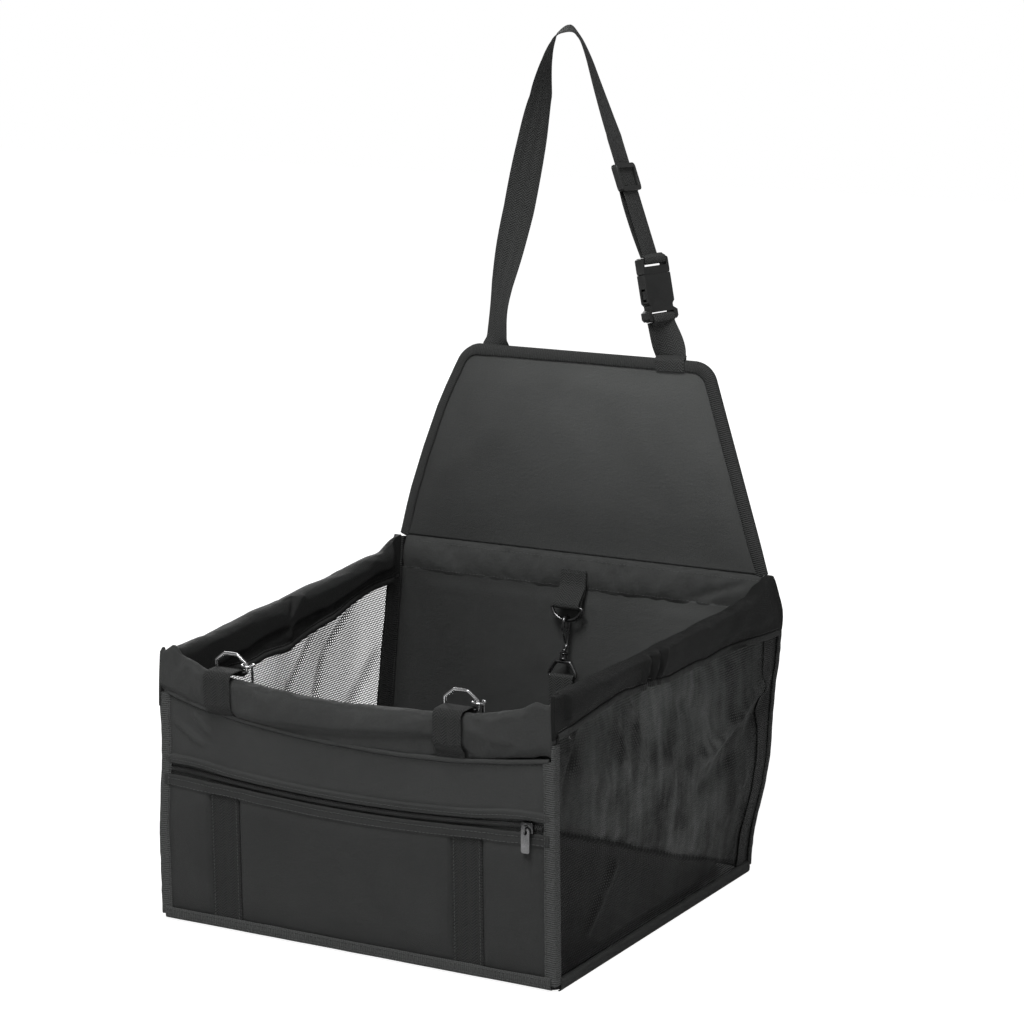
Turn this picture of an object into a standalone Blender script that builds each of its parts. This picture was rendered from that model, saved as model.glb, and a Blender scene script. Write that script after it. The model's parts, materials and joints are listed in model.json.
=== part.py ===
# Car seat for a small dog: a soft box on a stiff base, with net sides, padded rims, a zipped
# front pocket, a backrest flap with a headrest strap, and a short tether with snap hooks.
# Metres, +Z up. The front faces -Y, and the origin is the centre of the base's underside.
import bmesh
import bpy
from math import cos, pi, radians, sin, tan
from mathutils import Matrix, Vector

# General sizes
CLEARANCE = 0.0003
OVERRUN = 0.002
FABRIC = 0.0014
WEBBING_WIDTH = 0.030
WEBBING_THICKNESS = 0.0014
HALF_SHARE = 0.5

# Base
BASE_WIDTH = 0.400
BASE_DEPTH = 0.376
BASE_CORNER = 0.010
PIPING_RADIUS = 0.0022
PIPING_LIFT = 0.0002
BASE_BOARD = 0.0035
BOARD_INSET = 0.006
BOARD_FRONT_INSET = 0.011
PAD_HEIGHT = 0.013
PAD_SIDE_INSET = 0.008
PAD_FRONT_INSET = 0.023
PAD_REAR_INSET = 0.010
PAD_CROWN = 0.003

# Front wall, in its own frame: x to the right, y inward, z up from the fold line
FRONT_LEAN = radians(1.2)
FRONT_TOP = 0.2476
PANEL_SIDE_INSET = 0.004
OUTER_FACE = 0.0030
FOAM = 0.0040
FOAM_INSET = 0.010
FOAM_FOOT = 0.006
LINING_FOOT = 0.008
LINING_TUCK = 0.016
RIM_HEIGHT = 0.045
RIM_SAG = 0.022
RIM_THICKNESS = 0.013
RIM_BULGE = 0.010
RIM_FOOT_LIFT = 0.0020
RIM_END_LENGTH = 0.014
UPPER_BULGE = 0.009
CORNER_RADIUS = 0.0025

# Zip across the front pocket
ZIP_LINE = 0.1400
ZIP_TAPE_WIDTH = 0.022
TEETH_WIDTH = 0.0032
TEETH_HEIGHT = 0.0017
TEETH_PITCH = 0.0060
TEETH_LENGTH = 0.0040
TEETH_END_INSET = 0.006
SLIDER_LENGTH = 0.011
SLIDER_FLANGE = 0.0026
SLIDER_PLATE = 0.0022
SLIDER_END_GAP = 0.003
BRIDGE_RADIUS = 0.0008
BRIDGE_REACH = 0.0046
BRIDGE_SPAN = 0.0056
PULL_LENGTH = 0.0215
PULL_WIDTH = 0.0080
PULL_THICKNESS = 0.0016
PULL_HOLE_RADIUS = 0.0019
PULL_BAR = 0.0016
BAR_TURN_SHARE = 0.72

# Webbing on the front, its rings and the clips on them
FRONT_STRAP_SHARES = {"left": -0.325, "right": 0.290}
RIM_LOOP_SHARES = {"left": -0.316, "right": 0.265}
STRAP_FOOT = 0.006
STRAP_TOP_GAP = 0.004
RING_WIRE = 0.0016
RING_WIDTH = 0.0350
LOOP_WIDTH = 0.0275
RING_SIDE = 0.0085
RING_HEIGHT = 0.0160
RING_SHOULDER_SHARE = 0.42
RING_DROP = 0.0040
RING_STAND = 0.0012
LOOP_CORNER = 0.0060
LOOP_SHOULDER = 0.0040
LOOP_WRAP_END = radians(441)
CLIP_WIRE = 0.0012
CLIP_EYE_RADIUS = 0.0054
CLIP_EYE_LIFT = 0.0068
CLIP_EYE_OFFSET = 0.0022
CLIP_EYE_OPENING = radians(36)
CLIP_STEM = 0.020
CLIP_BOW_RADIUS = 0.0055
CLIP_TIP = 0.0070

# Rear wall, in its own frame: x to the right, y outward, z up from the base's edge
REAR_LEAN = radians(8)
REAR_SEAM = 0.2400
BAND_HEIGHT = 0.0380
REAR_FOOT = 0.0045
REAR_BOARD = 0.0035
REAR_LINING = 0.0030
BAND_THICKNESS = 0.0170
BAND_EDGE_SHARE = 0.20
SEAM_RADIUS = 0.0018

# Side walls
MESH_INSET = 0.0020
MESH_THICKNESS = 0.0012
MESH_COLUMNS = 13
MESH_ROWS = 8
MESH_STRAND_SHARE = 0.20
MESH_BOW = 0.006
MESH_FOOT = 0.0060
SIDE_RIM_THICKNESS = 0.028
SIDE_RIM_BULGE = 0.006
SIDE_RIM_FOOT_SHARE = 0.62
RIM_FRONT_TOPS = {"left": 0.2490, "right": 0.2580}
RIM_REAR_TOPS = {"left": 0.2670, "right": 0.2680}
RIM_FRONT_HEMS = {"left": 0.1990, "right": 0.2100}
RIM_REAR_HEMS = {"left": 0.2280, "right": 0.2260}
SIDE_RIM_INSET = 0.0020
SIDE_RIM_END_LENGTH = 0.012

# Backrest flap, in its own frame: x to the right, y outward, z up from the fold seam
FLAP_LEAN = radians(3)
FLAP_HEIGHT = 0.192
FLAP_BOTTOM_WIDTH = 0.392
FLAP_TOP_WIDTH = 0.262
FLAP_CORNER = 0.022
FLAP_HEM = 0.022
FLAP_HALF_THICKNESS = 0.0034
FLAP_FACE = 0.0011
FLAP_BINDING_RADIUS = 0.0024
FLAP_BINDING_FOOT = 0.0075
FLAP_FOAM_INSET = 0.006

# Headrest strap, as places across, outward and up from the middle of the flap's top edge,
# and the turn of its face
STRAP_SEWN = 0.045
STRAP_ROOT_X = -0.100
STRAP_ROOT_TURN = radians(-8)
PEAK_FROM_TOP = Vector((-0.025, -0.003, 0.307))
STRAP_PEAK_TURN = radians(119)
STRAP_SAMPLES = 40
GLIDE_FROM_TOP = Vector((0.037, 0.0, 0.170))
GLIDE_TILT = radians(21)
GLIDE_TURN = radians(90)
BUCKLE_FROM_TOP = Vector((0.0655, 0.0, 0.096))
BUCKLE_TILT = radians(12)
BUCKLE_TURN = radians(75)
TAIL_ROOT_X = 0.089
TAIL_ROOT_TURN = radians(12)

# Strap adjuster
GLIDE_WIDTH = 0.0380
GLIDE_HEIGHT = 0.0270
GLIDE_BAR = 0.0046
GLIDE_BAR_THICKNESS = 0.0022
GLIDE_RAIL = 0.0034
GLIDE_CORNER = 0.0040

# Side-release clasp, from its strap end down
CLASP_WIDTH = 0.0370
CLASP_THICKNESS = 0.0095
PLUG_HEIGHT = 0.0150
PLUG_SLOT = 0.0042
PLUG_SLOT_INSET = 0.0036
SOCKET_HEIGHT = 0.0440
SOCKET_WALL = 0.0018
SOCKET_SIDE_WALL = 0.0026
SOCKET_CAVITY_DEPTH = 0.0265
SOCKET_WAIST = 0.0030
SOCKET_EAR = 0.0025
SOCKET_EAR_HEIGHT = 0.0115
SOCKET_SLOT_INSET = 0.0040
WINDOW_TOP = 0.0130
WINDOW_HEIGHT = 0.0120
WINDOW_LIP = 0.0003
PRONG_WIDTH = 0.0036
PRONG_LENGTH = 0.0235
PRONG_HEAD = 0.0090
PRONG_HEAD_BULGE = 0.0030
PRONG_SIDE_GAP = 0.0010

# Tether on the rear wall
TAB_WIDTH = 0.0275
TAB_TOP_DROP = 0.0160
TAB_BOTTOM_DROP = 0.0500
TETHER_STANDOFF = 0.0200
DEE_WIRE = 0.0019
DEE_WIDTH = 0.0375
DEE_DROP = 0.0185
HOOK_WIRE = 0.0020
HOOK_BOW_RADIUS = 0.0056
HOOK_SPINE = 0.0270
HOOK_TIP = 0.0080
BARREL_RADIUS = 0.0044
BARREL_HEIGHT = 0.0070
BARREL_FLANGE = 0.0012
BARREL_WAIST_SHARE = 0.80
EYE_WIRE = 0.0018
EYE_TOP_WIDTH = 0.0150
EYE_WIDTH = 0.0380
EYE_HEIGHT = 0.0190
LEASH_LENGTH = 0.0560
LEASH_LOOP_SHARE = 0.22
GATE_WIRE = 0.0009
GATE_GAP = 0.0005

# Shapes of soft ends and straps, as shares of their sizes
WELD_DISTANCE = 0.00005
SOFT_SECTION_SHARE = 0.55
PAD_CUTS = 4
RIM_END_SHARES = ((0.35, 0.93), (0.70, 0.76), (0.92, 0.50), (1.0, 0.22))
BAND_SHARES = ((0.20, -1.0), (0.78, -0.72), (1.0, -0.25), (1.0, 0.2), (0.66, 0.72), (0.16, 1.0),
               (-0.16, 1.0), (-0.66, 0.72), (-1.0, 0.2), (-1.0, -0.25), (-0.78, -0.72),
               (-0.20, -1.0))
HEM_SHARES = (0.2, 0.4, 0.6, 0.8, 1.0)
BAND_SHIFT = -0.0010
REAR_OUTER = 0.0020
MESH_BORDER_SHARE = 0.06
STRAP_DEPTH = 0.016
STRAP_LEFT_SHARES = ((0.02, -0.10, 0.14, 0.00), (0.12, 0.15, 0.31, 0.13), (0.24, 0.40, 0.48, 0.26),
                     (0.36, 0.70, 0.63, 0.42), (0.48, 0.95, 0.78, 0.62), (0.62, 1.00, 0.89, 0.82),
                     (0.76, 0.85, 0.96, 0.94), (0.88, 0.50, 0.99, 1.00))
STRAP_RIGHT_SHARES = ((0.12, 0.15), (0.26, 0.36), (0.46, 0.46), (0.72, 0.34))
STRAP_FALL_SHARE = 1.35
CLASP_STRAP_GAP = 0.0005
RETURN_DEPTH = 0.0046
RETURN_SHORT = 0.0009
RETURN_SHARES = ((0.0, 0.60), (0.25, 1.0), (0.6, 1.0), (0.85, 0.80), (1.0, 0.62))
LEASH_WIDTH = 0.0250

# Colours: red, green, blue, roughness, metallic
CHARCOAL = (0.045, 0.045, 0.047, 0.90, 0.0)
CHARCOAL_LIGHT = (0.075, 0.075, 0.078, 0.88, 0.0)
NET_BLACK = (0.020, 0.020, 0.021, 0.92, 0.0)
WEBBING_BLACK = (0.022, 0.022, 0.023, 0.85, 0.0)
FOAM_GREY = (0.20, 0.20, 0.20, 0.95, 0.0)
BOARD_GREY = (0.12, 0.12, 0.12, 0.60, 0.0)
PLASTIC_BLACK = (0.018, 0.018, 0.019, 0.38, 0.0)
STEEL_BRIGHT = (0.72, 0.72, 0.73, 0.22, 1.0)
STEEL_DARK = (0.09, 0.09, 0.095, 0.35, 1.0)

# Places that follow from the sizes above
FOLD_HEIGHT = PIPING_RADIUS + PIPING_LIFT
SKIN_START = PIPING_RADIUS + CLEARANCE
RIM_BOTTOM = FRONT_TOP - RIM_HEIGHT
FOAM_FRONT = -OUTER_FACE + FABRIC + CLEARANCE
LINING_FRONT = FOAM_FRONT + FOAM + CLEARANCE
RIM_INNER = LINING_FRONT - CLEARANCE
PANEL_WIDTH = BASE_WIDTH - PANEL_SIDE_INSET - PANEL_SIDE_INSET
REAR_HINGE = REAR_SEAM + BAND_HEIGHT
ZIP_END = PANEL_WIDTH / 2 - TEETH_END_INSET - SLIDER_LENGTH - SLIDER_END_GAP
FRONT_FRAME = (Matrix.Translation((0, -BASE_DEPTH / 2, FOLD_HEIGHT))
               @ Matrix.Rotation(FRONT_LEAN, 4, "X"))
REAR_FRAME = (Matrix.Translation((0, BASE_DEPTH / 2, FOLD_HEIGHT))
              @ Matrix.Rotation(-REAR_LEAN, 4, "X"))
FLAP_TOP = Vector((0, 0, FLAP_HEIGHT))
STRAP_PEAK = FLAP_TOP + PEAK_FROM_TOP
GLIDE_PLACE = FLAP_TOP + GLIDE_FROM_TOP
BUCKLE_PLACE = FLAP_TOP + BUCKLE_FROM_TOP
FLAP_FRAME = (Matrix.Translation(REAR_FRAME @ Vector((0, 0, REAR_HINGE)))
              @ Matrix.Rotation(-FLAP_LEAN, 4, "X"))


def remove_everything():
    for thing in list(bpy.data.objects):
        bpy.data.objects.remove(thing, do_unlink=True)


def new_collection(name):
    group = bpy.data.collections.new(name)
    bpy.context.scene.collection.children.link(group)
    return group


def finish_for(name, colour):
    material = bpy.data.materials.new(name)
    material.use_nodes = True
    shader = material.node_tree.nodes["Principled BSDF"]
    shader.inputs["Base Color"].default_value = (*colour[:3], 1)
    shader.inputs["Roughness"].default_value = colour[3]
    shader.inputs["Metallic"].default_value = colour[4]
    return material


def add_body_empty(name, place):
    empty = bpy.data.objects.new(name, None)
    SEAT.objects.link(empty)
    empty.location = place
    bpy.context.view_layer.update()
    return empty


def add_piece(name, data, colour, frame, body=None):
    piece = bpy.data.objects.new(name, data)
    SEAT.objects.link(piece)
    data.materials.append(finish_for(name + "_finish", colour))
    piece.matrix_world = frame
    if body:
        piece.parent = body
        piece.matrix_parent_inverse = body.matrix_world.inverted()
    return piece


def add_cutter(name, data, frame):
    cutter = bpy.data.objects.new(name, data)
    CUTTERS.objects.link(cutter)
    cutter.matrix_world = frame
    cutter.hide_render = True
    cutter.display_type = "WIRE"
    return cutter


def boolean(piece, cutter, operation):
    change = piece.modifiers.new(cutter.name, "BOOLEAN")
    change.object = cutter
    change.operation = operation
    change.solver = "EXACT"


def smooth(mesh):
    mesh.shade_smooth()
    mesh.set_sharp_from_angle(angle=radians(35))


def mesh_from(bm, name):
    mesh = bpy.data.meshes.new(name)
    bm.to_mesh(mesh)
    bm.free()
    return mesh


def box_mesh(name, low, high):
    low, high = Vector(low), Vector(high)
    bm = bmesh.new()
    bmesh.ops.create_cube(bm, size=1)
    bmesh.ops.scale(bm, vec=high - low, verts=bm.verts)
    bmesh.ops.translate(bm, vec=(high + low) / 2, verts=bm.verts)
    return mesh_from(bm, name)


def arc(centre, radius, start, end, steps):
    turns = [start + (end - start) * i / steps for i in range(steps + 1)]
    return [Vector((centre[0] + radius * cos(a), centre[1] + radius * sin(a))) for a in turns]


def rounded(corners, radius, steps=4):
    # Each corner of a polygon is cut back and replaced by an arc that touches both sides
    points = []
    for i, corner in enumerate(corners):
        corner = Vector(corner)
        before = (Vector(corners[i - 1]) - corner).normalized()
        after = (Vector(corners[(i + 1) % len(corners)]) - corner).normalized()
        half = before.angle(after) / 2
        middle = corner + (before + after).normalized() * (radius / sin(half))
        first = corner + before * (radius / tan(half)) - middle
        last = corner + after * (radius / tan(half)) - middle
        for k in range(steps + 1):
            share = k / steps
            spoke = first.normalized().slerp(last.normalized(), share)
            points.append(middle + spoke * radius)
    return points


def outline_curve(name, points, thickness, holes=()):
    curve = bpy.data.curves.new(name, "CURVE")
    curve.dimensions = "2D"
    curve.fill_mode = "BOTH"
    curve.extrude = thickness / 2
    for ring in (points, *holes):
        spline = curve.splines.new("POLY")
        spline.points.add(len(ring) - 1)
        for place, point in zip(spline.points, ring):
            place.co = (point[0], point[1], 0, 1)
        spline.use_cyclic_u = True
    return curve


def add_outline(name, points, thickness, colour, frame, body=None, holes=()):
    # A flat piece in the plane of x and y; its middle lies on the frame's plane
    curve = outline_curve(name, points, thickness, holes)
    mesh = solid_from_curve(name, curve)
    return add_piece(name, mesh, colour, frame, body)


def solid_from_curve(name, curve):
    # The caps of a filled curve are loose, so they are welded into one closed body
    draft = bpy.data.objects.new(name + "_draft", curve)
    CUTTERS.objects.link(draft)
    bpy.context.view_layer.update()
    graph = bpy.context.evaluated_depsgraph_get()
    mesh = bpy.data.meshes.new_from_object(draft.evaluated_get(graph))
    bpy.data.objects.remove(draft)
    bpy.data.curves.remove(curve)
    bm = bmesh.new()
    bm.from_mesh(mesh)
    bmesh.ops.remove_doubles(bm, verts=bm.verts, dist=WELD_DISTANCE)
    bmesh.ops.recalc_face_normals(bm, faces=bm.faces)
    bm.to_mesh(mesh)
    bm.free()
    mesh.materials.clear()
    mesh.name = name
    return mesh


def wire_mesh(name, points, radius, resolution=2, closed=False):
    curve = bpy.data.curves.new(name, "CURVE")
    curve.dimensions = "3D"
    curve.bevel_depth = radius
    curve.bevel_resolution = resolution
    curve.use_fill_caps = not closed
    spline = curve.splines.new("POLY")
    spline.points.add(len(points) - 1)
    for place, point in zip(spline.points, points):
        place.co = (*point, 1)
    spline.use_cyclic_u = closed
    mesh = solid_from_curve(name, curve)
    smooth(mesh)
    return mesh


def add_wire(name, points, radius, colour, frame, body=None, resolution=2, closed=False):
    mesh = wire_mesh(name, points, radius, resolution, closed)
    return add_piece(name, mesh, colour, frame, body)


def loft_mesh(name, rings, closed=False):
    # Rings of equal point counts are joined in order; the first and last are capped
    bm = bmesh.new()
    loops = [[bm.verts.new(point) for point in ring] for ring in rings]
    count = len(loops[0])
    pairs = list(zip(loops, loops[1:]))
    if closed:
        pairs.append((loops[-1], loops[0]))
    for near, far in pairs:
        for i in range(count):
            j = (i + 1) % count
            bm.faces.new((near[i], near[j], far[j], far[i]))
    if not closed:
        bm.faces.new(loops[0][::-1])
        bm.faces.new(loops[-1])
    bmesh.ops.recalc_face_normals(bm, faces=bm.faces)
    # A band's side is twisted along the way, so each is split into flat triangles
    bmesh.ops.triangulate(bm, faces=[f for f in bm.faces if len(f.verts) == 4])
    mesh = mesh_from(bm, name)
    smooth(mesh)
    return mesh


def webbing_mesh(name, path, across, width, thickness, closed=False):
    # A flat band along a path; across gives the direction of its width at each point
    rings = []
    count = len(path)
    for i, point in enumerate(path):
        before = path[i - 1] if i or closed else path[0]
        after = path[(i + 1) % count] if i < count - 1 or closed else path[-1]
        along = (after - before).normalized()
        wide = (across[i] - along * across[i].dot(along)).normalized() * (width / 2)
        thick = along.cross(wide).normalized() * (thickness / 2)
        rings.append([point - wide - thick, point + wide - thick,
                      point + wide + thick, point - wide + thick])
    return loft_mesh(name, rings, closed)


def grid_sheet(name, columns, rows, place):
    # A grid laid out by a function of two shares from 0 to 1
    bm = bmesh.new()
    bmesh.ops.create_grid(bm, x_segments=columns, y_segments=rows, size=HALF_SHARE)
    for vert in bm.verts:
        vert.co = place(vert.co.x + HALF_SHARE, vert.co.y + HALF_SHARE)
    return mesh_from(bm, name)


def thicken(piece, thickness):
    shell = piece.modifiers.new("thickness", "SOLIDIFY")
    shell.thickness = thickness
    shell.offset = 0
    shell.use_even_offset = False


def soft_section(half_a, half_b, count):
    # Rounded box section: points (a, b) around a centre
    ring = []
    for i in range(count):
        turn = 2 * pi * i / count
        a, b = cos(turn), sin(turn)
        ring.append((half_a * abs(a) ** SOFT_SECTION_SHARE * (1 if a >= 0 else -1),
                     half_b * abs(b) ** SOFT_SECTION_SHARE * (1 if b >= 0 else -1)))
    return ring


def smooth_path(places, samples):
    # A curve through the places, with evenly shared samples (Catmull-Rom)
    count = len(places) - 1
    path = []
    for s in range(samples + 1):
        run = count * s / samples
        i = min(int(run), count - 1)
        t = run - i
        p0, p1 = places[max(i - 1, 0)], places[i]
        p2, p3 = places[i + 1], places[min(i + 2, count)]
        path.append(((p1 * 2) + (p2 - p0) * t + (p0 * 2 - p1 * 5 + p2 * 4 - p3) * t * t
                     + (p1 * 3 - p0 - p2 * 3 + p3) * t * t * t) / 2)
    return path


def front_sag(x):
    share = 2 * x / BASE_WIDTH
    return max(0, 1 - share * share)


def wall_frame(frame, depth):
    # Turns a flat outline's x and y into a wall's x and z, at a depth along the wall's y
    return frame @ Matrix.Translation((0, depth, 0)) @ Matrix.Rotation(pi / 2, 4, "X")


def make_base(root):
    inner_width = BASE_WIDTH / 2 - SKIN_START
    inner_depth = BASE_DEPTH / 2 - SKIN_START
    sheet = rounded([(inner_width, -inner_depth), (inner_width, inner_depth),
                     (-inner_width, inner_depth), (-inner_width, -inner_depth)],
                    BASE_CORNER - SKIN_START)
    add_outline("base_cover", sheet, FABRIC, CHARCOAL, Matrix.Translation((0, 0, FABRIC / 2)), root)

    board_side = BASE_WIDTH / 2 - BOARD_INSET
    board_rear = BASE_DEPTH / 2 - BOARD_INSET
    board_front = -BASE_DEPTH / 2 + BOARD_FRONT_INSET
    board = rounded([(board_side, board_front), (board_side, board_rear),
                     (-board_side, board_rear), (-board_side, board_front)], BASE_CORNER)
    board_middle = FABRIC + CLEARANCE + BASE_BOARD / 2
    add_outline("base_board", board, BASE_BOARD, BOARD_GREY,
                Matrix.Translation((0, 0, board_middle)), root)

    pad_low = board_middle + BASE_BOARD / 2 + CLEARANCE
    low = Vector((-BASE_WIDTH / 2 + PAD_SIDE_INSET, -BASE_DEPTH / 2 + PAD_FRONT_INSET, pad_low))
    high = Vector((BASE_WIDTH / 2 - PAD_SIDE_INSET, BASE_DEPTH / 2 - PAD_REAR_INSET,
                   pad_low + PAD_HEIGHT))
    bm = bmesh.new()
    bmesh.ops.create_cube(bm, size=1)
    bmesh.ops.subdivide_edges(bm, edges=bm.edges, cuts=PAD_CUTS, use_grid_fill=True)
    for vert in bm.verts:
        share_x, share_y = 2 * vert.co.x, 2 * vert.co.y
        crown = PAD_CROWN * (1 - share_x ** 2) * (1 - share_y ** 2)
        top = vert.co.z > HALF_SHARE * HALF_SHARE
        vert.co = Vector((low.x + (high.x - low.x) * (vert.co.x + HALF_SHARE),
                          low.y + (high.y - low.y) * (vert.co.y + HALF_SHARE),
                          low.z + (high.z - low.z) * (vert.co.z + HALF_SHARE)))
        if top:
            vert.co.z += crown
    pad = add_piece("floor_pad", mesh_from(bm, "floor_pad"), CHARCOAL, Matrix(), root)
    soften(pad, 1)

    edge = rounded([(BASE_WIDTH / 2, -BASE_DEPTH / 2), (BASE_WIDTH / 2, BASE_DEPTH / 2),
                    (-BASE_WIDTH / 2, BASE_DEPTH / 2), (-BASE_WIDTH / 2, -BASE_DEPTH / 2)],
                   BASE_CORNER, 5)
    add_wire("base_piping", [(p.x, p.y, FOLD_HEIGHT) for p in edge], PIPING_RADIUS, NET_BLACK,
             Matrix(), root, closed=True)


def soften(piece, levels):
    change = piece.modifiers.new("softness", "SUBSURF")
    change.levels = levels
    change.render_levels = levels
    piece.data.shade_smooth()


def rim_bottom(x):
    return RIM_BOTTOM - RIM_SAG * front_sag(x)


def rim_thickness(x):
    return RIM_THICKNESS + RIM_BULGE * front_sag(x)


def rim_front(x):
    return RIM_INNER - rim_thickness(x)


def make_front_wall(front):
    half = PANEL_WIDTH / 2
    outer_middle = -OUTER_FACE + FABRIC / 2
    pocket_top = ZIP_LINE - ZIP_TAPE_WIDTH / 2 - CLEARANCE
    pocket = [(half, SKIN_START), (half, pocket_top), (-half, pocket_top), (-half, SKIN_START)]
    add_outline("pocket_panel", pocket, FABRIC, CHARCOAL, wall_frame(FRONT_FRAME, outer_middle),
                front)

    upper_foot = ZIP_LINE + ZIP_TAPE_WIDTH / 2 + CLEARANCE

    def upper_place(across, up):
        x = half * (2 * across - 1)
        top = rim_bottom(x) - CLEARANCE - FABRIC / 2
        bulge = UPPER_BULGE * front_sag(x) * up ** 1.5
        return Vector((x, outer_middle - bulge, upper_foot + (top - upper_foot) * up))

    mesh = grid_sheet("front_upper_panel", 14, 4, upper_place)
    upper = add_piece("front_upper_panel", mesh, CHARCOAL, FRONT_FRAME, front)
    thicken(upper, FABRIC)
    mesh.shade_smooth()

    steps = 16

    def sagging_outline(side, foot, rise):
        xs = [-side + 2 * side * i / steps for i in range(steps + 1)]
        return [(side, foot)] + [(x, rim_bottom(x) + rise) for x in xs[::-1]] + [(-side, foot)]

    foam = sagging_outline(half - FOAM_INSET, FOAM_FOOT, -CLEARANCE)
    add_outline("front_foam", foam, FOAM, FOAM_GREY,
                wall_frame(FRONT_FRAME, FOAM_FRONT + FOAM / 2), front)
    lining = sagging_outline(half, LINING_FOOT, LINING_TUCK)
    add_outline("front_lining", lining, FABRIC, CHARCOAL,
                wall_frame(FRONT_FRAME, LINING_FRONT + FABRIC / 2), front)

    for side, name in ((-1, "left"), (1, "right")):
        x = side * (half + CORNER_RADIUS + CLEARANCE)
        places = [(x, 0, FOAM_FOOT), (x, 0, rim_bottom(half) - CLEARANCE - CORNER_RADIUS)]
        add_wire("front_corner_binding_" + name, places, CORNER_RADIUS, NET_BLACK, FRONT_FRAME,
                 front)


def make_front_rim(front):
    # A padded roll that sags and swells between its two closed ends
    rings = []
    half = BASE_WIDTH / 2 - RIM_END_LENGTH
    stations = 20
    for i in range(stations + 1):
        x = -half + 2 * half * i / stations
        rings.append(rim_ring(x, 1, 0))
    ends = [(RIM_END_LENGTH * share, size) for share, size in RIM_END_SHARES]
    left = [rim_ring(-half, size, -reach) for reach, size in reversed(ends)]
    right = [rim_ring(half, size, reach) for reach, size in ends]
    mesh = loft_mesh("front_rim", left + rings + right)
    add_piece("front_rim", mesh, CHARCOAL, FRONT_FRAME, front)


def rim_ring(x, size, reach):
    # The roll's face draws back at its foot, down to the panel below it
    thickness = rim_thickness(x)
    foot_depth = RIM_INNER + OUTER_FACE + UPPER_BULGE * front_sag(x) + RIM_FOOT_LIFT
    narrowing = 1 - foot_depth / thickness
    half_height = RIM_HEIGHT / 2
    section = soft_section(thickness / 2 * size, half_height * size, 12)
    ring = []
    for a, b in section:
        depth = (thickness / 2 - a) * (1 - narrowing * max(0, -b / half_height))
        ring.append(Vector((x + reach, RIM_INNER - depth, rim_bottom(x) + half_height + b)))
    return ring


def make_zip(front):
    half = PANEL_WIDTH / 2
    tape = [(half, -ZIP_TAPE_WIDTH / 2), (half, ZIP_TAPE_WIDTH / 2),
            (-half, ZIP_TAPE_WIDTH / 2), (-half, -ZIP_TAPE_WIDTH / 2)]
    line_frame = FRONT_FRAME @ Matrix.Translation((0, 0, ZIP_LINE))
    add_outline("zip_tape", tape, FABRIC, NET_BLACK,
                wall_frame(line_frame, -OUTER_FACE + FABRIC / 2), front)

    # The chain is a comb of teeth on a bar, cut as one outline and lying on the tape
    reach = half - TEETH_END_INSET
    count = int(2 * reach / TEETH_PITCH)
    low, high, tip = -TEETH_WIDTH / 4, TEETH_WIDTH / 4, TEETH_WIDTH / 2
    top, bottom = [], []
    for i in range(count):
        x = -reach + (i + HALF_SHARE) * TEETH_PITCH
        near, far = x - TEETH_LENGTH / 2, x + TEETH_LENGTH / 2
        top += [(near, high), (near, tip), (far, tip), (far, high)]
        bottom += [(near, low), (near, -tip), (far, -tip), (far, low)]
    chain_back = -OUTER_FACE - CLEARANCE
    add_outline("zip_chain", bottom + top[::-1], TEETH_HEIGHT, PLASTIC_BLACK,
                wall_frame(line_frame, chain_back - TEETH_HEIGHT / 2), front)
    return line_frame, chain_back


def make_zip_slider(front, line_frame, chain_back):
    # The slider's section straddles the chain; a bridge on its face carries the pull
    slide = add_body_empty("zip_slider_body", line_frame @ Vector((ZIP_END, chain_back, 0)))
    attach(slide, front)
    inner = TEETH_WIDTH / 2 + CLEARANCE
    outer = inner + SLIDER_FLANGE
    back = chain_back
    front_of_chain = chain_back - TEETH_HEIGHT - CLEARANCE
    face = front_of_chain - SLIDER_PLATE
    section = [(face, -outer), (face, outer), (back, outer), (back, inner),
               (front_of_chain, inner), (front_of_chain, -inner), (back, -inner), (back, -outer)]
    along_x = Matrix(((0, 0, 1, ZIP_END), (1, 0, 0, 0), (0, 1, 0, 0), (0, 0, 0, 1)))
    slider = add_outline("zip_slider", section, SLIDER_LENGTH, STEEL_DARK, line_frame @ along_x,
                         slide)
    low = -BRIDGE_SPAN / 2
    bow = [(0, face + OVERRUN / 2, low), (0, face - BRIDGE_REACH, low)]
    bow += [(0, face - BRIDGE_REACH, -low), (0, face + OVERRUN / 2, -low)]
    bridge = wire_mesh("zip_bridge", bow, BRIDGE_RADIUS)
    at_slider = line_frame @ Matrix.Translation((ZIP_END, 0, 0))
    boolean(slider, add_cutter("zip_bridge", bridge, at_slider), "UNION")

    # The pull's top bar lies under the bridge and turns just above its lower leg
    bar_rise = BRIDGE_RADIUS + CLEARANCE + PULL_BAR * BAR_TURN_SHARE
    hinge = Vector((0, face - BRIDGE_REACH / 2, low + bar_rise))
    swing = add_body_empty("zip_pull_body", at_slider @ hinge)
    attach(swing, slide)
    half = PULL_WIDTH / 2
    head = PULL_BAR / 2
    tongue = rounded([(half, -PULL_LENGTH + head), (half, head), (-half, head),
                      (-half, -PULL_LENGTH + head)], PULL_WIDTH / 4, 3)
    hole = arc((0, -head - PULL_HOLE_RADIUS), PULL_HOLE_RADIUS, 0, 2 * pi, 12)[:-1]
    mesh = solid_from_curve("zip_pull", outline_curve("zip_pull", tongue, PULL_THICKNESS, [hole]))
    hanging = Matrix.Translation(at_slider @ hinge)
    add_piece("zip_pull", mesh, STEEL_DARK, wall_frame(hanging, 0), swing)


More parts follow.
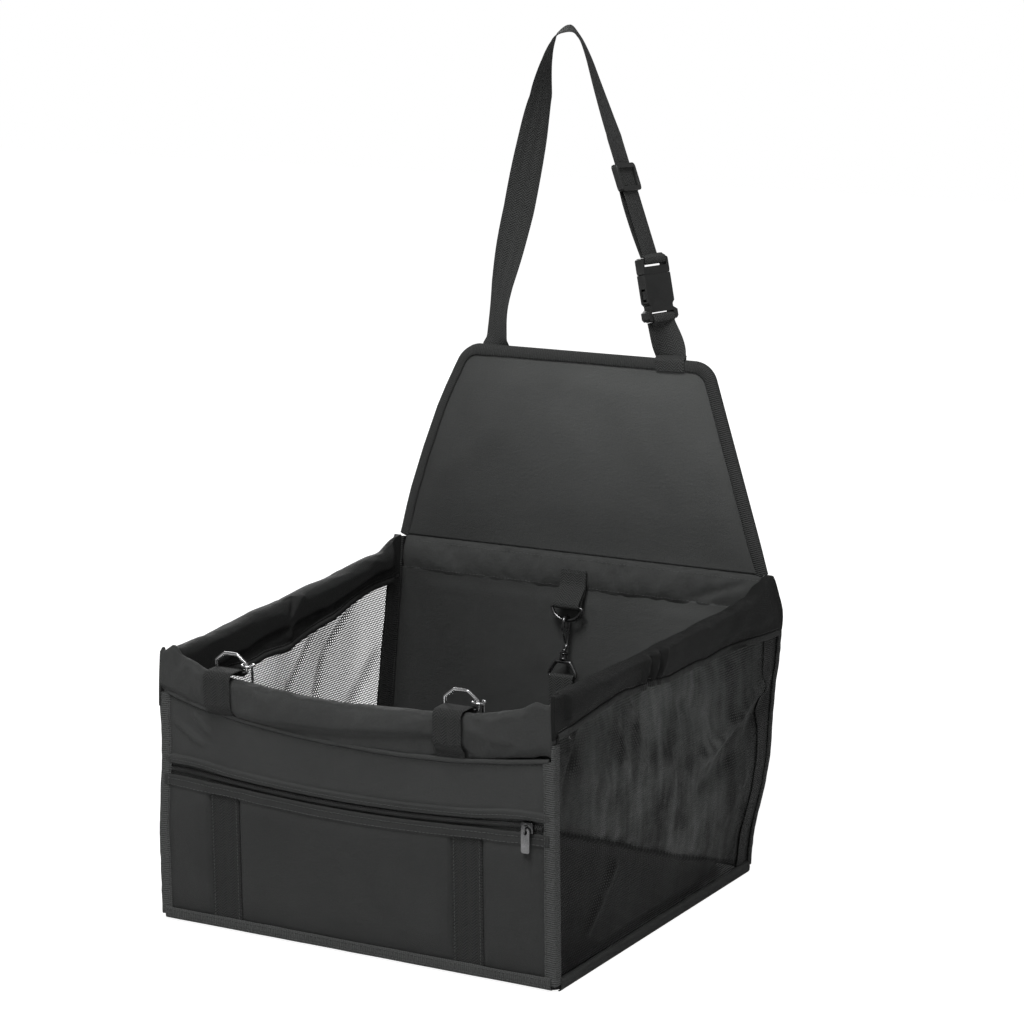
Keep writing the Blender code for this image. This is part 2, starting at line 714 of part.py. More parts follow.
def make_front_webbing(front):
    # Two straps run down the pocket, and two loops over the rim each hold a ring
    outward = -OUTER_FACE - CLEARANCE - WEBBING_THICKNESS / 2
    top = ZIP_LINE - ZIP_TAPE_WIDTH / 2 - STRAP_TOP_GAP
    rings = {}
    for name in ("left", "right"):
        x = FRONT_STRAP_SHARES[name] * BASE_WIDTH
        half = WEBBING_WIDTH / 2
        band = [(x + half, STRAP_FOOT), (x + half, top), (x - half, top), (x - half, STRAP_FOOT)]
        add_outline("front_strap_" + name, band, WEBBING_THICKNESS, WEBBING_BLACK,
                    wall_frame(FRONT_FRAME, outward), front)
        rings[name] = make_rim_loop(front, RIM_LOOP_SHARES[name] * BASE_WIDTH, name)
    return rings


def make_rim_loop(front, x, name):
    # The loop climbs the rim's face, crosses its top and wraps the ring's bar behind it
    wrap = RING_WIRE + CLEARANCE + WEBBING_THICKNESS / 2
    off = CLEARANCE + WEBBING_THICKNESS / 2
    half = LOOP_WIDTH / 2
    face = min(rim_front(x - half), rim_front(x + half)) - off
    top = max(rim_bottom(x - half), rim_bottom(x + half)) + RIM_HEIGHT + off
    low = rim_bottom(x)
    back = RIM_INNER + off + RING_STAND
    bar_y = back + wrap
    bar_z = top - RING_DROP
    path = [(face, low), (face, (low + top) / 2), (face, top - LOOP_CORNER)]
    path += [tuple(p) for p in arc((face + LOOP_CORNER, top - LOOP_CORNER), LOOP_CORNER,
                                   pi, pi / 2, 5)[1:]]
    path += [tuple(p) for p in arc((back - LOOP_SHOULDER, top - LOOP_SHOULDER), LOOP_SHOULDER,
                                   pi / 2, 0, 5)]
    path += [tuple(p) for p in arc((bar_y, bar_z), wrap, pi, LOOP_WRAP_END, 10)]
    points = [Vector((x, y, z)) for y, z in path]
    across = [Vector((1, 0, 0))] * len(points)
    mesh = webbing_mesh("rim_loop_" + name, points, across, LOOP_WIDTH, WEBBING_THICKNESS)
    add_piece("rim_loop_" + name, mesh, WEBBING_BLACK, FRONT_FRAME, front)
    return FRONT_FRAME @ Matrix.Translation((x, bar_y, bar_z))


def make_ring(name, frame, parent):
    # A five-sided ring: a bar under a low gable, standing on its bar
    body = add_body_empty("ring_body_" + name, frame.translation)
    attach(body, parent)
    half = RING_WIDTH / 2 - RING_WIRE
    shoulder = half * RING_SHOULDER_SHARE
    corners = [(half, 0), (half, RING_SIDE), (shoulder, RING_HEIGHT), (-shoulder, RING_HEIGHT),
               (-half, RING_SIDE), (-half, 0)]
    outline = rounded(corners, RING_WIRE, 2)
    add_wire("rim_ring_" + name, [(p.x, 0, p.y) for p in outline], RING_WIRE, STEEL_BRIGHT, frame,
             body, closed=True)
    return body, frame @ Matrix.Translation((half, 0, CLIP_EYE_LIFT))


def attach(body, parent):
    body.parent = parent
    body.matrix_parent_inverse = parent.matrix_world.inverted()
    bpy.context.view_layer.update()


def make_clip(name, frame, parent):
    # One bent wire: an eye round the ring's side, a stem down inside the rim, and a bow
    centre_y = CLIP_EYE_OFFSET
    start = pi / 2 + CLIP_EYE_OPENING
    eye = arc((0, centre_y), CLIP_EYE_RADIUS, start, pi * 2.5 - CLIP_EYE_OPENING / 4, 14)
    path = [Vector((p.x, p.y, 0)) for p in eye]
    inner_y = centre_y + CLIP_EYE_RADIUS
    bend = CLIP_WIRE * 2
    path += [Vector((0, inner_y + bend * (1 - cos(a)) / 2, -bend * sin(a)))
             for a in (radians(40), radians(90))]
    stem_y = path[-1].y
    foot = -bend - CLIP_STEM
    path.append(Vector((0, stem_y, foot)))
    bow = arc((-CLIP_BOW_RADIUS, foot), CLIP_BOW_RADIUS, 0, -pi, 9)[1:]
    path += [Vector((p.x, stem_y, p.y)) for p in bow]
    tip = Vector((-2 * CLIP_BOW_RADIUS, stem_y, foot + CLIP_TIP))
    path.append(tip)
    pivot = Vector((0, centre_y, 0))
    body = add_body_empty("clip_body_" + name, frame @ pivot)
    attach(body, parent)
    add_wire("rim_clip_" + name, path, CLIP_WIRE, STEEL_BRIGHT, frame, body)

    # The sprung gate closes from the stem's head down to the bow's tip
    top = Vector((-CLIP_WIRE - GATE_WIRE - CLEARANCE, stem_y, -bend - GATE_GAP))
    gate_end = tip + Vector((0, 0, GATE_WIRE + CLIP_WIRE * HALF_SHARE + GATE_GAP))
    gate = add_body_empty("clip_gate_body_" + name, frame @ top)
    attach(gate, body)
    add_wire("clip_gate_" + name, [top, gate_end], GATE_WIRE, STEEL_DARK, frame, gate)


def make_rear_wall(root):
    half = PANEL_WIDTH / 2
    wall = [(half, REAR_FOOT), (half, REAR_SEAM), (-half, REAR_SEAM), (-half, REAR_FOOT)]
    outer_middle = REAR_OUTER - FABRIC / 2
    add_outline("rear_panel", wall, FABRIC, CHARCOAL, wall_frame(REAR_FRAME, outer_middle), root)
    board_half = half - FOAM_INSET
    board = rounded([(board_half, FOAM_FOOT), (board_half, REAR_SEAM - FOAM_FOOT),
                     (-board_half, REAR_SEAM - FOAM_FOOT), (-board_half, FOAM_FOOT)], FOAM_INSET)
    board_back = REAR_OUTER - FABRIC - CLEARANCE
    add_outline("rear_board", board, REAR_BOARD, BOARD_GREY,
                wall_frame(REAR_FRAME, board_back - REAR_BOARD / 2), root)
    lining_back = board_back - REAR_BOARD - CLEARANCE
    lining = [(half, LINING_FOOT), (half, REAR_SEAM), (-half, REAR_SEAM), (-half, LINING_FOOT)]
    add_outline("rear_lining", lining, REAR_LINING, CHARCOAL,
                wall_frame(REAR_FRAME, lining_back - REAR_LINING / 2), root)

    # The padded band between the wall's top seam and the flap's fold seam
    middle = (REAR_SEAM + REAR_HINGE) / 2
    reach = (REAR_HINGE - SEAM_RADIUS - REAR_SEAM) / 2 - CLEARANCE
    centre = middle - SEAM_RADIUS / 2
    section = [(BAND_THICKNESS / 2 * width, reach * height) for width, height in BAND_SHARES]
    rings = []
    for i in range(13):
        x = -half + 2 * half * i / 12
        share = abs(2 * x / PANEL_WIDTH)
        plump = 1 - BAND_EDGE_SHARE * share ** 4
        rings.append([Vector((x, BAND_SHIFT + a * plump, centre + b)) for a, b in section])
    add_piece("rear_band", loft_mesh("rear_band", rings), CHARCOAL_LIGHT, REAR_FRAME, root)

    seam = [(-half, 0, REAR_HINGE), (half, 0, REAR_HINGE)]
    add_wire("fold_seam_piping", seam, SEAM_RADIUS, NET_BLACK, REAR_FRAME, root)
    for side, name in ((-1, "left"), (1, "right")):
        x = side * (half + CORNER_RADIUS + CLEARANCE)
        places = [(x, 0, FOAM_FOOT), (x, 0, REAR_HINGE - SIDE_RIM_THICKNESS)]
        add_wire("rear_corner_binding_" + name, places, CORNER_RADIUS, NET_BLACK, REAR_FRAME, root)


def make_sides(root):
    front_y = -BASE_DEPTH / 2
    rear_y = BASE_DEPTH / 2
    end_gap = CORNER_RADIUS + CLEARANCE
    for side, name in ((-1, "left"), (1, "right")):
        plane_x = side * (BASE_WIDTH / 2 - MESH_INSET)

        def edge_front(z):
            return front_y - tan(FRONT_LEAN) * (z - FOLD_HEIGHT) + end_gap / cos(FRONT_LEAN)

        def edge_rear(z):
            return rear_y + tan(REAR_LEAN) * (z - FOLD_HEIGHT) - end_gap / cos(REAR_LEAN)

        def net_place(along, up):
            foot = FOLD_HEIGHT + MESH_FOOT
            hem = RIM_FRONT_HEMS[name] + (RIM_REAR_HEMS[name] - RIM_FRONT_HEMS[name]) * along
            top = hem - CLEARANCE - MESH_THICKNESS / 2
            z = foot + (top - foot) * up
            y = edge_front(z) + (edge_rear(z) - edge_front(z)) * along
            bow = MESH_BOW * 16 * along * (1 - along) * up * (1 - up)
            return Vector((plane_x + side * bow, y, z))

        bm = bmesh.new()
        bmesh.ops.create_grid(bm, x_segments=MESH_COLUMNS, y_segments=MESH_ROWS, size=HALF_SHARE)
        inner = [f for f in bm.faces
                 if all(abs(c) < HALF_SHARE - MESH_BORDER_SHARE for c in f.calc_center_median()[:2])]
        for face in inner:
            strand = MESH_STRAND_SHARE * min(e.calc_length() for e in face.edges)
            bmesh.ops.inset_individual(bm, faces=[face], thickness=strand)
        bmesh.ops.delete(bm, geom=inner, context="FACES_ONLY")
        for vert in bm.verts:
            vert.co = net_place(vert.co.x + HALF_SHARE, vert.co.y + HALF_SHARE)
        net = add_piece("side_net_" + name, mesh_from(bm, "side_net_" + name), NET_BLACK, Matrix(),
                        root)
        thicken(net, MESH_THICKNESS)
        make_side_rim(root, side, name)


def make_side_rim(root, side, name):
    # A padded sleeve from behind the front rim's end to the rear band
    start = -BASE_DEPTH / 2 + RIM_INNER + CLEARANCE + SIDE_RIM_INSET
    end = (REAR_FRAME @ Vector((0, -BAND_THICKNESS / 2 + BAND_SHIFT, REAR_SEAM))).y
    end -= CLEARANCE + SIDE_RIM_INSET
    stations = 16
    body = []
    for i in range(stations + 1):
        body.append((start + SIDE_RIM_END_LENGTH
                     + (end - start - 2 * SIDE_RIM_END_LENGTH) * i / stations, 1))
    caps = [(SIDE_RIM_END_LENGTH * share, size) for share, size in RIM_END_SHARES]
    before = [(start + SIDE_RIM_END_LENGTH - reach, size) for reach, size in reversed(caps)]
    after = [(end - SIDE_RIM_END_LENGTH + reach, size) for reach, size in caps]
    rings = []
    for y, size in before + body + after:
        share = (y - start) / (end - start)
        top = RIM_FRONT_TOPS[name] + (RIM_REAR_TOPS[name] - RIM_FRONT_TOPS[name]) * share
        hem = RIM_FRONT_HEMS[name] + (RIM_REAR_HEMS[name] - RIM_FRONT_HEMS[name]) * share
        swell = SIDE_RIM_BULGE * 4 * share * (1 - share)
        thickness = SIDE_RIM_THICKNESS + swell
        centre_x = side * (BASE_WIDTH / 2 - MESH_INSET + swell / 2)
        reach = (top - hem) / 2
        section = soft_section(thickness / 2 * size, reach * size, 12)
        # The sleeve narrows from its full roll down to the net's seam
        rings.append([Vector((centre_x + a * rim_narrowing(b / reach), y, (top + hem) / 2 + b))
                      for a, b in section])
    add_piece("side_rim_" + name, loft_mesh("side_rim_" + name, rings), CHARCOAL, Matrix(), root)


def rim_narrowing(height_share):
    return 1 - (1 - SIDE_RIM_FOOT_SHARE) * max(0, -height_share)


def flap_half_width(z):
    share = z / FLAP_HEIGHT
    return (FLAP_BOTTOM_WIDTH + (FLAP_TOP_WIDTH - FLAP_BOTTOM_WIDTH) * share) / 2


def flap_outline(foot, inset):
    # The trapezium's upright half, with its two top corners rounded
    low, high = flap_half_width(foot) - inset, flap_half_width(FLAP_HEIGHT) - inset
    top = FLAP_HEIGHT - inset
    corners = [(low, foot), (high, top), (-high, top), (-low, foot)]
    points = rounded(corners, FLAP_CORNER - inset, 5)
    return [corners[0]] + points[6:18] + [corners[3]]


def make_flap(flap):
    inset = FLAP_BINDING_RADIUS + CLEARANCE
    foam = flap_outline(FLAP_HEM, inset + FLAP_FOAM_INSET)
    foam_thickness = 2 * (FLAP_HALF_THICKNESS - FLAP_FACE - CLEARANCE)
    add_outline("flap_foam", foam, foam_thickness, FOAM_GREY, wall_frame(FLAP_FRAME, 0), flap)
    for side, name in ((-1, "flap_front"), (1, "flap_back")):
        outline = flap_outline(SEAM_RADIUS + CLEARANCE, inset)
        mesh = flap_skin(name, outline, side)
        add_piece(name, mesh, CHARCOAL_LIGHT, FLAP_FRAME, flap)
    edge = flap_outline(FLAP_BINDING_FOOT, 0)
    add_wire("flap_binding", [(x, 0, z) for x, z in edge], FLAP_BINDING_RADIUS, NET_BLACK,
             FLAP_FRAME, flap)


def flap_skin(name, outline, side):
    # A face of the flap: full thickness above the hem, drawn to the middle at the fold seam
    mesh = solid_from_curve(name, outline_curve(name, outline, FLAP_FACE))
    bm = bmesh.new()
    bm.from_mesh(mesh)
    for share in HEM_SHARES:
        bmesh.ops.bisect_plane(bm, geom=bm.verts[:] + bm.edges[:] + bm.faces[:],
                               plane_co=(0, FLAP_HEM * share, 0), plane_no=(0, 1, 0))
    for vert in bm.verts:
        rise = min(1, vert.co.y / FLAP_HEM)
        ease = rise * rise * (3 - 2 * rise)
        out = (FLAP_FACE / 2 + CLEARANCE / 2) * (1 - ease)
        out += (FLAP_HALF_THICKNESS - FLAP_FACE / 2) * ease
        vert.co = Vector((vert.co.x, side * out - vert.co.z, vert.co.y))
    bmesh.ops.recalc_face_normals(bm, faces=bm.faces)
    bm.to_mesh(mesh)
    bm.free()
    return mesh


def turn_vector(turn):
    return Vector((cos(turn), sin(turn), 0))


def strand_frame(place, tilt, turn):
    # z runs up the strap, x lies across it, and y points away from its outer face
    up = Vector((-sin(tilt), 0, cos(tilt)))
    across = turn_vector(turn)
    across = (across - up * across.dot(up)).normalized()
    out = up.cross(across)
    rotation = Matrix((across, out, up)).transposed().to_4x4()
    return FLAP_FRAME @ Matrix.Translation(place) @ rotation


def strap_places():
    # The loop from the flap's back, over the peak, down to the clasp's plug
    back = FLAP_HALF_THICKNESS + CLEARANCE + WEBBING_THICKNESS / 2
    top = FLAP_HEIGHT
    rise = STRAP_PEAK.z - top
    x0, xp = STRAP_ROOT_X, STRAP_PEAK.x
    depth = STRAP_DEPTH
    left = [(Vector((x0, back, top - STRAP_SEWN)), 0.0),
            (Vector((x0, back, top + FLAP_BINDING_RADIUS)), 0.0)]
    for share_x, share_y, share_z, share_turn in STRAP_LEFT_SHARES:
        turn = STRAP_ROOT_TURN + (STRAP_PEAK_TURN - STRAP_ROOT_TURN) * share_turn
        left.append((Vector((x0 + (xp - x0) * share_x, -depth * share_y, top + rise * share_z)),
                     turn))
    right = []
    glide_up = Vector((-sin(GLIDE_TILT), 0, cos(GLIDE_TILT)))
    entry = GLIDE_PLACE + glide_up * GLIDE_HEIGHT * 1.4
    for share, share_y in STRAP_RIGHT_SHARES:
        place = STRAP_PEAK.lerp(entry, share)
        lift = STRAP_PEAK.z + (entry.z - STRAP_PEAK.z) * share ** STRAP_FALL_SHARE
        turn = STRAP_PEAK_TURN + (GLIDE_TURN - STRAP_PEAK_TURN) * share
        right.append((Vector((place.x, depth * share_y, lift)), turn))
    return left + [(STRAP_PEAK, STRAP_PEAK_TURN)] + right + [(entry, GLIDE_TURN)]


def make_strap(flap):
    places = strap_places()
    run_down = Vector((sin(GLIDE_TILT), 0, -cos(GLIDE_TILT)))
    length = (GLIDE_PLACE - BUCKLE_PLACE).length - CLASP_STRAP_GAP
    path = smooth_path([p for p, _ in places], STRAP_SAMPLES)
    turns = smooth_path([Vector((t, 0, 0)) for _, t in places], STRAP_SAMPLES)
    path += [GLIDE_PLACE + run_down * length * share for share in (0, HALF_SHARE, 1)]
    across = [turn_vector(t.x) for t in turns] + [turn_vector(GLIDE_TURN)] * 3
    mesh = webbing_mesh("headrest_strap", path, across, WEBBING_WIDTH, WEBBING_THICKNESS)
    add_piece("headrest_strap", mesh, WEBBING_BLACK, FLAP_FRAME, flap)


def make_strap_return(flap):
    # The second layer of strap, from the clasp's plug back up to the adjuster's middle bar
    frame = strand_frame(GLIDE_PLACE, GLIDE_TILT, GLIDE_TURN)
    length = (GLIDE_PLACE - BUCKLE_PLACE).length - CLASP_STRAP_GAP
    depth = RETURN_DEPTH
    top = -GLIDE_BAR / 2 - CLEARANCE
    spread = RETURN_SHORT - length - top
    path = [Vector((0, depth * bulge, top + spread * share)) for share, bulge in RETURN_SHARES]
    across = [Vector((1, 0, 0))] * len(path)
    mesh = webbing_mesh("strap_return", path, across, WEBBING_WIDTH, WEBBING_THICKNESS)
    add_piece("strap_return", mesh, WEBBING_BLACK, frame, flap)


def make_glide(parent):
    # An adjuster with its end bars in front of the strap and its middle bar behind it
    frame = strand_frame(GLIDE_PLACE, GLIDE_TILT, GLIDE_TURN)
    body = add_body_empty("strap_adjuster_body", frame.translation)
    attach(body, parent)
    gap = WEBBING_THICKNESS / 2 + CLEARANCE
    depth = gap + GLIDE_BAR_THICKNESS
    half, high = GLIDE_WIDTH / 2, GLIDE_HEIGHT / 2
    edge = rounded([(half, -high), (half, high), (-half, high), (-half, -high)], GLIDE_CORNER, 4)
    glide = add_outline("strap_adjuster", edge, 2 * depth, PLASTIC_BLACK, wall_frame(frame, 0), body)
    inner = half - GLIDE_RAIL
    slot = high - GLIDE_BAR
    window = box_mesh("adjuster_window", (-inner, gap * -1, -high - OVERRUN),
                      (inner, depth + OVERRUN, high + OVERRUN))
    boolean(glide, add_cutter("adjuster_window", window, frame), "DIFFERENCE")
    front = box_mesh("adjuster_front", (-inner, -depth - OVERRUN, -slot), (inner, 0, slot))
    boolean(glide, add_cutter("adjuster_front", front, frame), "DIFFERENCE")
    middle = box_mesh("adjuster_bar", (-inner - OVERRUN / 2, gap, -GLIDE_BAR / 2),
                      (inner + OVERRUN / 2, depth, GLIDE_BAR / 2))
    boolean(glide, add_cutter("adjuster_bar", middle, frame), "UNION")


def make_clasp(flap):
    # The plug hangs on the doubled strap; its sprung prongs snap out in the socket's windows
    frame = strand_frame(BUCKLE_PLACE, BUCKLE_TILT, BUCKLE_TURN)
    half = CLASP_WIDTH / 2
    block = rounded([(half, -PLUG_HEIGHT), (half, 0), (-half, 0), (-half, -PLUG_HEIGHT)],
                    PLUG_SLOT_INSET * HALF_SHARE, 3)
    plug = add_outline("clasp_plug", block, CLASP_THICKNESS, PLASTIC_BLACK, wall_frame(frame, 0),
                       flap)
    slot_half = WEBBING_WIDTH / 2 + CLEARANCE * 2
    slot = box_mesh("plug_slot", (-slot_half, -CLASP_THICKNESS, -PLUG_SLOT_INSET - PLUG_SLOT),
                    (slot_half, CLASP_THICKNESS, -PLUG_SLOT_INSET))
    boolean(plug, add_cutter("plug_slot", slot, frame), "DIFFERENCE")

    socket_frame = frame @ Matrix.Translation((0, 0, -PLUG_HEIGHT - CLEARANCE))
    make_socket(flap, socket_frame)
    for side, name in ((-1, "left"), (1, "right")):
        make_prong(flap, socket_frame, side, name)


def make_socket(flap, frame):
    half = CLASP_WIDTH / 2
    ear = half + SOCKET_EAR
    waist = half - SOCKET_WAIST
    ear_top = -SOCKET_HEIGHT + SOCKET_EAR_HEIGHT
    outline = [(half, 0), (half, -SOCKET_CAVITY_DEPTH), (waist, ear_top + SOCKET_WAIST),
               (waist, ear_top), (ear, ear_top - SOCKET_WAIST), (ear, -SOCKET_HEIGHT + SOCKET_EAR),
               (half, -SOCKET_HEIGHT)]
    full = outline + [(-x, z) for x, z in reversed(outline)]
    socket = add_outline("clasp_socket", full, CLASP_THICKNESS, PLASTIC_BLACK, wall_frame(frame, 0),
                         flap)
    deep = CLASP_THICKNESS / 2 - SOCKET_WALL
    side = half - SOCKET_SIDE_WALL
    cavity = box_mesh("socket_cavity", (-side, -deep, -SOCKET_CAVITY_DEPTH), (side, deep, OVERRUN))
    boolean(socket, add_cutter("socket_cavity", cavity, frame), "DIFFERENCE")
    open_half = deep - WINDOW_LIP
    windows = box_mesh("socket_windows", (-half - OVERRUN, -open_half, -WINDOW_TOP - WINDOW_HEIGHT),
                       (half + OVERRUN, open_half, -WINDOW_TOP))
    boolean(socket, add_cutter("socket_windows", windows, frame), "DIFFERENCE")
    slot_half = WEBBING_WIDTH / 2 + CLEARANCE * 2
    slot_low = -SOCKET_HEIGHT + SOCKET_SLOT_INSET
    slot = box_mesh("socket_slot", (-slot_half, -CLASP_THICKNESS, slot_low),
                    (slot_half, CLASP_THICKNESS, slot_low + PLUG_SLOT))
    boolean(socket, add_cutter("socket_slot", slot, frame), "DIFFERENCE")


def make_prong(flap, frame, side, name):
    # A springy arm that ends in a head, which fills its window at rest
    outer = CLASP_WIDTH / 2 - SOCKET_SIDE_WALL - PRONG_SIDE_GAP
    inner = outer - PRONG_WIDTH
    head_top = -WINDOW_TOP - PRONG_SIDE_GAP
    foot = -PRONG_LENGTH
    bulge = outer + PRONG_HEAD_BULGE
    arm = [(inner, -CLEARANCE), (inner, foot), (outer, foot), (bulge, head_top - PRONG_HEAD),
           (bulge, head_top - PRONG_HEAD_BULGE / 2), (outer, head_top), (outer, -CLEARANCE)]
    root = Vector((side * (inner + outer) / 2, 0, 0))
    body = add_body_empty("prong_body_" + name, frame @ root)
    attach(body, flap)
    thickness = CLASP_THICKNESS - 2 * SOCKET_WALL - 2 * PRONG_SIDE_GAP
    points = [(side * x, z) for x, z in arm]
    if side > 0:
        points.reverse()
    add_outline("clasp_prong_" + name, points, thickness, PLASTIC_BLACK, wall_frame(frame, 0), body)


def make_strap_tail(flap):
    # The short strap from the flap's back up to the socket's slot
    frame = strand_frame(BUCKLE_PLACE, BUCKLE_TILT, BUCKLE_TURN)
    socket_end = -PLUG_HEIGHT - SOCKET_HEIGHT - CLASP_STRAP_GAP
    to_flap = FLAP_FRAME.inverted() @ frame
    end = to_flap @ Vector((0, 0, socket_end))
    low = end + (to_flap.to_3x3() @ Vector((0, 0, -WEBBING_WIDTH / 3)))
    back = FLAP_HALF_THICKNESS + CLEARANCE + WEBBING_THICKNESS / 2
    top = FLAP_HEIGHT + FLAP_BINDING_RADIUS
    middle = Vector((TAIL_ROOT_X, back, top)).lerp(low, HALF_SHARE)
    places = [(Vector((TAIL_ROOT_X, back, FLAP_HEIGHT - STRAP_SEWN)), 0.0),
              (Vector((TAIL_ROOT_X, back, top)), TAIL_ROOT_TURN / 4),
              (middle, (TAIL_ROOT_TURN + BUCKLE_TURN) / 2), (low, BUCKLE_TURN)]
    path = smooth_path([p for p, _ in places], STRAP_SAMPLES // 2) + [end]
    turns = smooth_path([Vector((t, 0, 0)) for _, t in places], STRAP_SAMPLES // 2)
    turns.append(turns[-1])
    mesh = webbing_mesh("strap_tail", path, [turn_vector(t.x) for t in turns], WEBBING_WIDTH,
                        WEBBING_THICKNESS)
    add_piece("strap_tail", mesh, WEBBING_BLACK, FLAP_FRAME, flap)


def make_tether(root):
    # A sewn tab on the rear band holds a dee, and a swivelling snap hook hangs on it
    stand = -TETHER_STANDOFF
    wrap = DEE_WIRE + CLEARANCE + WEBBING_THICKNESS / 2
    bar_z = REAR_HINGE - TAB_BOTTOM_DROP
    face = BAND_SHIFT - BAND_THICKNESS / 2 - CLEARANCE - WEBBING_THICKNESS / 2
    top_z = REAR_HINGE - TAB_TOP_DROP
    step = WEBBING_THICKNESS + CLEARANCE
    path = [(face, top_z), (face, (top_z + REAR_SEAM) / 2), (face, REAR_SEAM + wrap),
            (stand + wrap, bar_z + wrap)]
    path += [tuple(p) for p in arc((stand, bar_z), wrap, 0, -pi, 7)]
    path += [(stand - wrap, bar_z + wrap), (face - step, REAR_SEAM + 2 * wrap),
             (face - step, (top_z + REAR_SEAM) / 2), (face - step, top_z)]
    points = [Vector((0, y, z)) for y, z in path]
    across = [Vector((1, 0, 0))] * len(points)
    mesh = webbing_mesh("tether_tab", points, across, TAB_WIDTH, WEBBING_THICKNESS)
    add_piece("tether_tab", mesh, WEBBING_BLACK, REAR_FRAME, root)

    # The dee: a straight bar above a half-round bow
    dee_frame = REAR_FRAME @ Matrix.Translation((0, stand, bar_z))
    dee = add_body_empty("tether_dee_body", dee_frame.translation)
    attach(dee, root)
    half = DEE_WIDTH / 2 - DEE_WIRE
    drop = DEE_DROP - 2 * DEE_WIRE
    bow = [(half * cos(a), -drop * sin(a)) for a in [pi * i / 12 for i in range(13)]]
    add_wire("tether_dee", [(x, 0, z) for x, z in bow], DEE_WIRE, STEEL_BRIGHT, dee_frame, dee,
             closed=True)

    # The hook's bow goes round the dee's lowest point, edge on to the wall
    hook_frame = dee_frame @ Matrix.Translation((0, 0, -drop))
    hook = add_body_empty("tether_hook_body", hook_frame.translation)
    attach(hook, dee)
    radius = HOOK_BOW_RADIUS
    centre_z = DEE_WIRE + HOOK_WIRE + CLEARANCE - radius
    path = [Vector((0, p.x, p.y)) for p in arc((0, centre_z), radius, pi, 0, 9)]
    path.insert(0, Vector((0, -radius, centre_z - HOOK_TIP)))
    spine_low = centre_z - HOOK_SPINE
    path += [Vector((0, radius, spine_low + radius)),
             Vector((0, radius / 2, spine_low + radius / 4)), Vector((0, 0, spine_low)),
             Vector((0, 0, spine_low - HOOK_WIRE))]
    add_wire("tether_hook", path, HOOK_WIRE, STEEL_DARK, hook_frame, hook)
    gate_top = Vector((0, -radius, centre_z - HOOK_TIP - GATE_GAP - GATE_WIRE))
    gate_low = Vector((0, radius - HOOK_WIRE - GATE_WIRE - CLEARANCE, spine_low + radius))
    gate = add_body_empty("tether_gate_body", hook_frame @ gate_low)
    attach(gate, hook)
    add_wire("tether_gate", [gate_low, gate_top], GATE_WIRE, STEEL_DARK, hook_frame, gate)

    barrel_top = spine_low - HOOK_WIRE - CLEARANCE
    barrel_frame = hook_frame @ Matrix.Translation((0, 0, barrel_top))
    add_barrel("tether_swivel", barrel_frame, hook)
    eye_frame = barrel_frame @ Matrix.Translation((0, 0, -BARREL_HEIGHT - CLEARANCE - EYE_WIRE))
    eye = add_body_empty("tether_eye_body", eye_frame.translation)
    attach(eye, hook)
    add_eye("tether_eye", eye_frame, eye)
    return eye, eye_frame


def add_barrel(name, frame, body):
    # A turned swivel with a flange at each end
    radius, waist = BARREL_RADIUS, BARREL_RADIUS * BARREL_WAIST_SHARE
    profile = [(0, 0), (waist, 0), (radius, -BARREL_FLANGE / 2), (radius, -BARREL_FLANGE),
               (waist, -BARREL_FLANGE * 1.5), (waist, BARREL_FLANGE * 1.5 - BARREL_HEIGHT),
               (radius, BARREL_FLANGE - BARREL_HEIGHT), (radius, BARREL_FLANGE / 2 - BARREL_HEIGHT),
               (waist, -BARREL_HEIGHT), (0, -BARREL_HEIGHT)]
    mesh = bpy.data.meshes.new(name)
    mesh.from_pydata([(r, 0, z) for r, z in profile],
                     [(i, i + 1) for i in range(len(profile) - 1)], [])
    barrel = add_piece(name, mesh, STEEL_DARK, frame, body)
    turned = barrel.modifiers.new("turned", "SCREW")
    turned.steps = 14
    turned.render_steps = 14
    turned.use_merge_vertices = True
    turned.merge_threshold = WELD_DISTANCE
    turned.use_smooth_shade = True


def eye_outline():
    top, wide, height = EYE_TOP_WIDTH / 2, EYE_WIDTH / 2 - EYE_WIRE, EYE_HEIGHT - 2 * EYE_WIRE
    return rounded([(wide, -height), (top, 0), (-top, 0), (-wide, -height)], EYE_WIRE * 1.5, 2)


def add_eye(name, frame, body):
    add_wire(name, [(p.x, 0, p.y) for p in eye_outline()], EYE_WIRE, STEEL_DARK, frame, body,
             closed=True)


